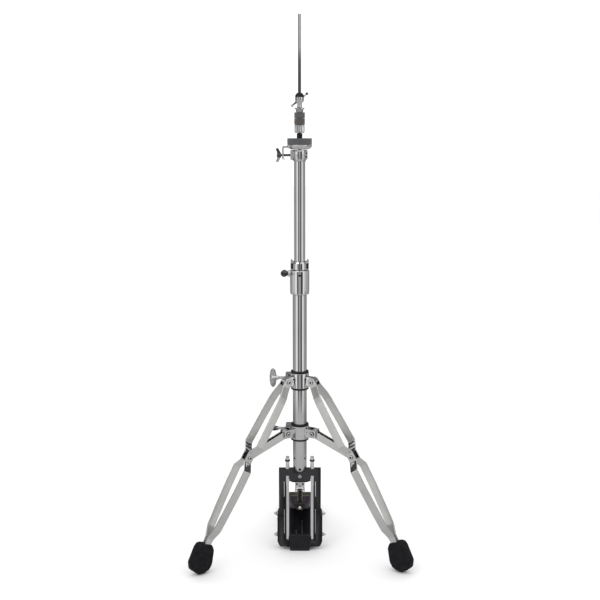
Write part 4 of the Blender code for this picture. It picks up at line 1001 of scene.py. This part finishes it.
def build_legs():
    build_bushing("upper_bushing_ring", "upper_leg_bushing", 346.0, 384.5, "sliding_collar")
    build_bushing("lower_bushing_ring", "lower_leg_bushing", 237.5, 272.5, "leg_bushing")
    build_collar("upper_collar_casting", "upper_leg_collar", "sliding_collar", 349.9, 380.6, TOP_PIN, False,
        UPPER_BOLT_Z)
    build_collar("lower_collar_casting", "lower_leg_collar", "leg_hub", 241.4, 268.6, STRUT_PIN, True,
        LOWER_BOLT_Z)
    for tag, azimuth in AZIMUTHS.items():
        leg, strut = tag + "_leg", tag + "_strut"
        build_pin(tag + "_leg_bolt", tag + "_leg_pin", "sliding_collar", TOP_PIN, 9.5, azimuth)
        build_pin(tag + "_strut_bolt", tag + "_strut_pin", "leg_hub", STRUT_PIN, 9.6, azimuth)
        build_pin(tag + "_waist_screw", tag + "_waist_bolt", leg, WAIST, 9.5, azimuth)
        build_strap(tag + "_strap_front" if tag == "left" else tag + "_strap_rear", tag + "_leg_strap_a",
            leg, 1.0, azimuth)
        build_strap(tag + "_strap_rear" if tag == "left" else tag + "_strap_front", tag + "_leg_strap_b",
            leg, -1.0, azimuth)
        build_strut(tag + "_channel", tag + "_leg_strut", strut, azimuth)
        build_foot(tag + "_foot", tag + "_rubber_foot", leg, azimuth)
    wing_bolt("upper_clamp_bolt", "upper_clamp_bolt", ["upper_clamp_wing_bolt"],
        at(0, CLAMP_BOLT_Y, UPPER_BOLT_Z), -6.0, -44.0, -55.5)
    # the lower clamp and height bolts get the painted dark reflection; the upper clamp bolt stays plain
    # chrome
    wing_bolt("lower_clamp_bolt", "lower_clamp_bolt", ["lower_clamp_wing_bolt"],
        at(0, CLAMP_BOLT_Y, LOWER_BOLT_Z) @ turn(71.5, "X"), -6.0, -44.0, -55.5, dark=True)
    wing_bolt("height_clamp_bolt", "height_bolt", ["height_wing_bolt"],
        at(0, 0, HEIGHT_BOLT_Z) @ turn(98.5, "X"), -14.9, -24.0, -31.0, 6.2, dark=True)


# ---------------------------------------------------------------- pedal

GUIDE_ROD_X, GUIDE_ROD_Y = 25.6, -8.0
HINGE_Y, HINGE_Z = 230.0, 14.0
BOARD_TILT, CHAIN_HANG = -17.1, 34.8                     # degrees at rest
YOKE_PIN_Z = 127.0


def build_pedal_frame():
    """Cast window frame: tube boss on top, rod guides down both sides, toe lip at the foot."""
    outline = mirrored([(41.5, 7.3, 6), (47.0, 19.0, 7), (47.0, 76.0, 3), (43.5, 81.5, 3),
        (43.5, 182.0, 4)], 5)
    opening = mirrored([(33.2, 21.0, 2.5), (33.2, 152.0, 2), (19.0, 152.0, 2), (15.0, 150.0, 2)], 4)
    lip = mirrored([(21.0, 7.7, 2), (21.0, 31.0, 2), (18.0, 33.0, 2)], 3)
    fall = at(0, -16.0, 182.0) @ turn(-21.0, "X")
    steps = [("-", slab(opening, -40.0, 40.0)), ("+", plug(17.7, 152.0, 180.5, 96)),
        ("+", slab(lip, -22.0, -16.0)), ("-", plug(14.6, 164.0, 200.0, 96)),
        ("-", plug(4.2, 130.0, 170.0, 32)), ("-", moved(plug(12.4, -40.0, -6.0, 72),
        at(0, 0, 183.5) @ TO_Y)), ("-", moved(brick((-60.0, -1.0, 0.0), (60.0, 60.0, 40.0)), fall))]
    for side in (-1, 1):
        x = side * GUIDE_ROD_X
        low_x, high_x = sorted((side * 28.6, side * 32.2))
        steps.append(("+", brick((low_x, -13.0, 19.0), (high_x, 0.0, 154.0))))
        low_x, high_x = sorted((side * 31.0, side * 34.5))
        steps.append(("+", brick((low_x, -12.0, 88.2), (high_x, -1.0, 111.4))))
        steps.append(("-", moved(plug(4.3, 140.0, 200.0, 32), at(x, GUIDE_ROD_Y, 0))))
        steps.append(("-", moved(plug(3.3, 12.0, 40.0, 32), at(x, GUIDE_ROD_Y, 0))))
        steps.append(("-", brick((x - 4.4, -30.0, 176.8), (x + 4.4, -8.0, 200.0))))
        steps.append(("-", brick((x - 3.6, -30.0, 140.0), (x + 3.6, -8.0, 164.0))))
    casting = carved(slab(outline, -18.0, 14.0), *steps, bevel=0.9, segments=3, angle=40.0)
    frame_piece = piece("pedal_frame_casting", casting, "black_paint", "stand", ["pedal_frame"])
    frame_piece.visible_glossy = False     # keeps the foot of the polished tube bright

    screw = [(0.0, 18.2), (3.2, 18.2), (3.6, 18.5), (3.6, 19.6), (3.1, 20.4), (2.2, 20.7),
        (polygon_radius(6, 1.9), 20.6), (polygon_radius(6, 1.9), 19.2), (0.0, 19.0)]
    piece("frame_clamp_head", turned(screw, 48), "chrome", "stand", ["frame_clamp_screw"],
        at(0, 0, 163.0) @ turn(90, "X"))

    for tag, side in SIDES:
        rod = [(0.0, 12.4), (2.6, 12.4), (3.0, 12.9), (3.0, 164.8), (3.3, 165.2), (3.9, 166.0),
            (3.9, 188.6), (3.5, 189.0), (3.5, 189.8), (3.9, 190.2), (3.9, 202.0), (3.5, 202.8),
            (3.0, 203.0), (1.7, 203.0), (1.5, 202.6), (1.5, 201.4), (0.0, 201.2)]
        place = at(side * GUIDE_ROD_X, GUIDE_ROD_Y, 0)
        piece(tag + "_guide_rod", turned(rod, 48), "rod_chrome", "stand", [tag + "_tension_rod"], place)
        ring = fillet([(4.2, 192.8), (5.2, 192.8), (5.2, 195.8), (4.2, 195.8)], [0.2, 0.5, 0.5, 0.2], 4)
        piece(tag + "_rubber_ring", turned(ring, 48, ring=True), "rubber", "stand", [tag + "_rod_ring"],
            place)
        for level, z in (("upper", 74.0), ("lower", 27.0)):
            nut = [(0.0, 0.0), (4.3, 0.0), (4.6, 0.3), (4.6, 0.9), (4.2, 1.1),
                (polygon_radius(6, 4.1), 1.2), (polygon_radius(6, 4.1), 3.6), (3.4, 4.0), (2.4, 4.1),
                (2.4, 6.2), (2.0, 6.7), (1.2, 6.8), (polygon_radius(6, 1.1), 6.7),
                (polygon_radius(6, 1.1), 5.4), (0.0, 5.3)]
            piece(f"{tag}_{level}_spur", turned(nut, 48), "chrome", "stand", [f"{tag}_{level}_spur_screw"],
                at(side * 47.3, 0, z) @ turn(side * 90.0, "Y"))


def build_base():
    """Floor plate with two stiffening ribs, the heel plate with its bead tread, and the hinge."""
    outline = mirrored([(21.0, 22.0, 4), (21.0, -22.0, 12), (25.0, -40.0, 12), (25.0, -213.6, 3)], 4)
    upright = turn(90.0, "X")
    steps = []
    for x in (-17.5, 17.5):
        groove = brick((x - 1.0, 18.0, 6.2), (x + 1.0, 208.0, 9.0))
        steps.append(("-", moved(groove, upright.inverted())))
    plate = carved(slab(outline, 0.0, 7.0), *steps, bevel=0.6, angle=42.0)
    piece("floor_plate", plate, "black_paint", "stand", ["base_plate"], upright)
    for tag, x, end in (("short", -8.0, 62.0), ("long", 4.6, 112.0)):
        piece(f"floor_plate_{tag}_rib", brick((x - 1.1, 15.5, 6.0), (x + 1.1, end, 9.4), 0.7),
            "satin_steel", "stand", slot="black_paint")

    heel = mirrored([(38.0, -214.0, 3), (38.0, -256.0, 5), (30.0, -262.0, 5)], 4)
    cut = [("-", moved(plug(3.4, -2, 12, 36), at(x, -2.0, -222.0) @ TO_Y)) for x in (-32.0, 32.0)]
    piece("heel_casting", carved(slab(heel, 0.0, 5.0), *cut, bevel=0.9, angle=42.0), "black_paint", "stand",
        ["heel_plate"], upright)
    for tag, side in SIDES:
        head = turned(socket_head(2.9, 2.4, 0.5, 0.6, 0.8), 36)
        # painted shade: the screw heads under the footboard take the near-black chrome
        piece(tag + "_heel_screw", head, "shade_painted_chrome", "stand", matrix=at(side * 32.0, 222.0, 2.2))

    tread = mirrored([(27.0, -238.0, 3), (27.0, -268.0, 3), (22.0, -272.0, 3)], 4)
    beads = [moved(slab(tread, 1.0, 10.3, 0.9), upright)]
    for row in range(9):
        for column in range(15):
            x = (column - 7) * 3.5
            y = 241.0 + row * 3.45
            dome = turned([(0.0, 9.8), (1.45, 9.8), (1.45, 10.5), (1.05, 11.2), (0.0, 11.5)], 10)
            beads.append(moved(dome, at(x, y, 0)))
    piece("heel_bead_tread", merge(*beads), "khaki", "stand")

    pin = [(0.0, -22.0), (3.9, -22.0), (4.6, -21.3)]
    for x in (-13.0, -4.5, 4.5, 13.0):
        pin += [(4.6, x - 0.35), (3.9, x - 0.2), (3.9, x + 0.2), (4.6, x + 0.35)]
    pin += [(4.6, 21.3), (3.9, 22.0), (0.0, 22.0)]
    piece("hinge_barrel", turned(pin, 40), "dark_steel", "stand", ["heel_hinge_pin"],
        at(0, HINGE_Y, HINGE_Z) @ TO_X, slot="satin_steel")


def build_footboard():
    """Long footboard with a raised rim and staggered grip bars, and the chain clamp at its toe."""
    tilt = at(0, HINGE_Y, HINGE_Z) @ turn(BOARD_TILT, "X")
    lay = tilt @ turn(90.0, "X")
    half = [(26.5, 5.4), (26.5, 60.0), (23.0, 150.0), (19.5, 200.0), (13.5, 208.0)]
    inner = [(x - 3.2, s + (3.2 if s < 10.0 else -2.6 if s > 190.0 else 0.0)) for x, s in half]

    def both_sides(side):
        return fillet([(-x, s) for x, s in reversed(side)] + side, [4, 8, 30, 30, 3, 3, 30, 30, 8, 4], 4)

    steps = [("-", slab(both_sides(inner), 2.2, 8.0))]
    for row in range(17):
        s = 17.0 + row * 10.6
        span = 26.5 - max(0.0, s - 60.0) * 3.5 / 90.0 - max(0.0, s - 150.0) * 0.04 - 5.6
        pads = (-0.56, 0.56) if row % 2 else (-0.98, 0.0, 0.98)
        for share in pads:
            width = span * 0.27
            centre = share * (span - width)
            pad = fillet([(centre - width, s - 2.2), (centre + width, s - 2.2), (centre + width, s + 2.2),
                (centre - width, s + 2.2)], 2.1, 4)
            steps.append(("+", slab(pad, 1.4, 3.3)))
    board = carved(slab(both_sides(half), -3.4, 3.4), *steps, bevel=0.5, angle=42.0)
    piece("pedal_board", board, "board", "pedal", ["footboard"], lay)

    block = brick((-7.0, -216.4, -6.0), (7.0, -208.3, 7.6))
    slot = brick((-5.0, -220.0, 1.0), (5.0, -213.0, 20.0))
    clamp = carved(block, ("-", slot), bevel=1.1, segments=3)
    dome = turned([(0.0, -1.5), (3.9, -1.5), (3.9, -0.6), (3.4, 0.6), (2.3, 1.4), (0.0, 1.6)], 40)
    piece("toe_clamp_block", clamp, "link_steel", "pedal", ["toe_clamp"], tilt)
    piece("toe_clamp_screw", moved(dome, at(0, -216.4, -1.2) @ turn(90.0, "X")), "chrome", "pedal",
        matrix=tilt)


def build_chain():
    """Roller chain hanging from the yoke: side plates, rollers and riveted pins."""
    pitch, count = 7.85, 7
    plate = []
    for centre, first in ((pitch / 2, 0.0), (-pitch / 2, 180.0)):
        for index in range(9):
            angle = math.radians(first + 22.5 * index)
            plate.append((2.5 * math.cos(angle), centre + 2.5 * math.sin(angle)))
        plate.append((-1.7 if centre > 0 else 1.7, 0.0))
    plates, rollers = [], []
    to_x = turn(90.0, "Z")
    for index in range(count):
        z = -pitch * index
        roller = [(0.0, -2.9), (2.0, -2.9), (2.3, -2.6), (2.3, -0.3), (1.8, 0.0), (2.3, 0.3), (2.3, 2.6),
            (2.0, 2.9), (0.0, 2.9)]
        rollers.append(moved(turned(roller, 24), at(0, 0, z) @ TO_X))
        rivet = [(0.0, -6.2), (0.8, -6.2), (1.3, -5.8), (1.3, 5.8), (0.8, 6.2), (0.0, 6.2)]
        rollers.append(moved(turned(rivet, 16), at(0, 0, z) @ TO_X))
        if index == count - 1:
            continue
        offset = 4.5 if index % 2 else 3.1
        for side in (-1, 1):
            low, high = sorted((side * offset, side * (offset + 1.2)))
            link = slab(plate, low, high, 0.2, 1)
            plates.append(moved(link, at(0, 0, z - pitch / 2) @ to_x))
    swing = at(0, 0, YOKE_PIN_Z) @ turn(CHAIN_HANG, "X")
    piece("roller_chain_plates", merge(*plates), "chain_steel", "chain", ["pedal_chain"], swing)
    piece("roller_chain_rollers", merge(*rollers), "link_steel", "chain", matrix=swing, slot="chain_steel")


def build_yoke():
    """Forged clevis at the end of the pull rod, with its pin, two blind holes and a smaller third hole."""
    side = fillet([(-10.0, 123.5), (-6.9, 123.5), (-6.9, 133.0), (6.9, 133.0), (6.9, 123.5), (10.0, 123.5),
        (10.0, 143.0), (6.5, 147.0), (-6.5, 147.0), (-10.0, 143.0)],
        [1.5, 0.6, 1.2, 1.2, 0.6, 1.5, 3, 3, 3, 3], 4)
    blind_holes = [at(x, 0, 141.2) @ TO_Y for x in (-6.2, 6.2)]
    steps = [("-", plug(3.3, 136.0, 152.0, 36))]
    for place in blind_holes:
        steps.append(("-", moved(plug(2.1, -9.0, -2.8, 28), place)))
    steps.append(("-", moved(plug(1.5, -9.0, -3.8, 28), at(0, 0, 137.0) @ TO_Y)))
    pin = [(0, -10.4), (2.2, -10.4), (2.7, -10.0), (2.7, -9.4), (1.6, -9.2), (1.6, 9.2), (2.7, 9.4),
        (2.7, 10.0), (2.2, 10.4), (0, 10.4)]
    steps.append(("+", moved(turned(pin, 28), at(0, 0, YOKE_PIN_Z) @ TO_X)))
    fork = carved(slab(side, -6.0, 6.0), *steps, bevel=0.7, angle=42.0)
    obj = piece("rod_clevis", fork, "chrome", "pull_rod", ["rod_yoke"])
    # painted shade: near-black inside the three holes
    for place in blind_holes:
        inset_material(obj, "painted_recess_shade", place, 2.3, -5.6, -2.0)
    inset_material(obj, "painted_recess_shade", at(0, 0, 137.0) @ TO_Y, 1.7, -5.6, -2.0)


build_tubes()
build_height_collar()
build_memory_lock()
build_tilter()
build_clutch()
build_rod()
build_legs()
build_pedal_frame()
build_base()
build_footboard()
build_chain()
build_yoke()


# ---------------------------------------------------------------- kept solids

def dress_frame():
    """Gives every CAD solid the finished material of its own slot."""
    for item in NODES.values():
        for index, old in enumerate(item.data.materials):
            base = old.name.split(".")[0]
            item.material_slots[index].link = "OBJECT"
            item.material_slots[index].material = MATS[base]


dress_frame()


# ---------------------------------------------------------------- studio

def build_camera():
    data = bpy.data.cameras.new("camera")
    data.lens = 54.0
    data.sensor_width = 36.0
    data.clip_start = 0.05
    data.clip_end = 60.0
    camera = bpy.data.objects.new("camera", data)
    camera.location = (0.0008, -1.785, 0.855)
    camera.rotation_euler = (math.radians(79.7), math.radians(0.04), 0.0)
    scene.collection.objects.link(camera)
    scene.camera = camera


def build_floor():
    """A seamless pale sweep under and around the stand."""
    mesh = bpy.data.meshes.new("studio_floor")
    bm = bmesh.new()
    bmesh.ops.create_grid(bm, x_segments=8, y_segments=8, size=14.0)
    bm.to_mesh(mesh)
    bm.free()
    floor = bpy.data.objects.new("studio_floor", mesh)
    floor.location = (0.0, 0.0, -0.0004)
    scene.collection.objects.link(floor)
    s = Shader("studio_floor", (0.97, 0.97, 0.97), 0.9, 0.0)
    s.bsdf.inputs["Specular IOR Level"].default_value = 0.1
    mesh.materials.append(s.mat)
    floor.visible_glossy = False


def build_world():
    """Soft studio: a light tent with two narrow dark gaps either side of the camera."""
    world = bpy.data.worlds.new("studio")
    world.use_nodes = True
    n = Nodes(world.node_tree)
    n.tree.nodes.clear()

    def grey(value, stops):
        return n.ramp(value, [(position, (level,) * 3) for position, level in stops])

    def by_bearing(left, right):
        """Ramp stops from (degrees away from the camera, level) pairs on either hand."""
        stops = [(0.5 - a / 360.0, level) for a, level in reversed(left)]
        return stops + [(0.5 + a / 360.0, level) for a, level in right]

    where = n.node("ShaderNodeTexCoord")
    x, y, z = n.node("ShaderNodeSeparateXYZ", Vector=where.outputs["Generated"]).outputs
    bearing = n.math("ARCTAN2", x, n.math("MULTIPLY", y, -1.0))
    # 0.5 is towards the camera, 0 and 1 straight behind the stand
    around = n.math("ADD", n.math("DIVIDE", bearing, TAU), 0.5)
    left = [(0.0, 0.39), (14.0, 0.39), (17.5, 0.055), (30.0, 0.055), (34.0, 0.86), (64.0, 0.88),
        (69.0, 0.45), (78.0, 0.36), (130.0, 0.30), (180.0, 0.20)]
    right = [(12.0, 0.38), (15.5, 0.055), (35.5, 0.055), (39.0, 0.86), (64.0, 0.88), (69.0, 0.45),
        (78.0, 0.36), (130.0, 0.30), (180.0, 0.20)]
    tent = grey(around, by_bearing(left, right))
    below = grey(around, [(0.0, 0.16), (0.18, 0.17), (0.27, 0.24), (0.33, 0.50), (0.66, 0.50), (0.73, 0.24),
        (0.80, 0.20), (1.0, 0.16)])
    # 0 is straight down, 0.5 the horizon, 1 straight up
    height = n.math("ADD", n.math("DIVIDE", n.math("ARCSINE", z), math.pi), 0.5)
    low_mask = grey(height, [(0.0, 1.0), (0.4035, 1.0), (0.407, 0.0), (1.0, 0.0)])
    flat_mask = grey(height, [(0.0, 1.0), (0.384, 1.0), (0.392, 0.0), (1.0, 0.0)])
    band_mask = grey(height, [(0.0, 0.0), (0.510, 0.0), (0.512, 1.0), (0.522, 1.0), (0.5255, 0.0),
        (1.0, 0.0)])
    side_mask = grey(height, [(0.0, 0.0), (0.522, 0.0), (0.5255, 1.0), (1.0, 1.0)])
    high_mask = grey(height, [(0.0, 0.0), (0.72, 0.0), (0.76, 1.0), (1.0, 1.0)])
    upper_half = [(0.0, 0.70), (24.0, 0.64), (42.0, 0.24), (60.0, 0.50), (72.0, 0.24), (93.0, 0.20),
        (95.0, 0.015), (109.0, 0.015), (111.0, 1.0), (121.0, 1.0), (123.0, 0.015), (134.0, 0.015),
        (138.0, 0.25), (180.0, 0.20)]
    sides = grey(around, by_bearing(upper_half, upper_half[1:]))
    for mask, layer in ((low_mask, below), (side_mask, sides), (band_mask, (0.07, 0.07, 0.07)),
            (flat_mask, (0.46, 0.46, 0.46)), (high_mask, (0.85, 0.85, 0.86))):
        tent = n.mixed(mask, tent, layer)
    path = n.node("ShaderNodeLightPath")
    plain = n.math("MAXIMUM", path.outputs["Is Camera Ray"], path.outputs["Is Diffuse Ray"])
    colour = n.mixed(plain, tent, (1.12, 1.12, 1.12))      # seen and diffused: plain white
    background = n.node("ShaderNodeBackground", Strength=1.0, Color=colour)
    n.node("ShaderNodeOutputWorld", Surface=background.outputs[0])
    scene.world = world


def build_lights():
    """One large soft key from the upper left and a weaker fill."""
    for name, place, size, power in (("key", (-1.3, -1.6, 2.3), 1.4, 9.0),
            ("fill", (1.8, -1.2, 1.5), 1.6, 4.0)):
        data = bpy.data.lights.new(name, "AREA")
        data.size = size
        data.energy = power
        lamp = bpy.data.objects.new(name, data)
        lamp.location = place
        aim = Vector((0.0, 0.0, 0.35)) - lamp.location
        lamp.rotation_euler = aim.to_track_quat("-Z", "Y").to_euler()
        scene.collection.objects.link(lamp)


build_camera()
build_floor()
build_world()
build_lights()
scene.view_settings.view_transform = "Standard"
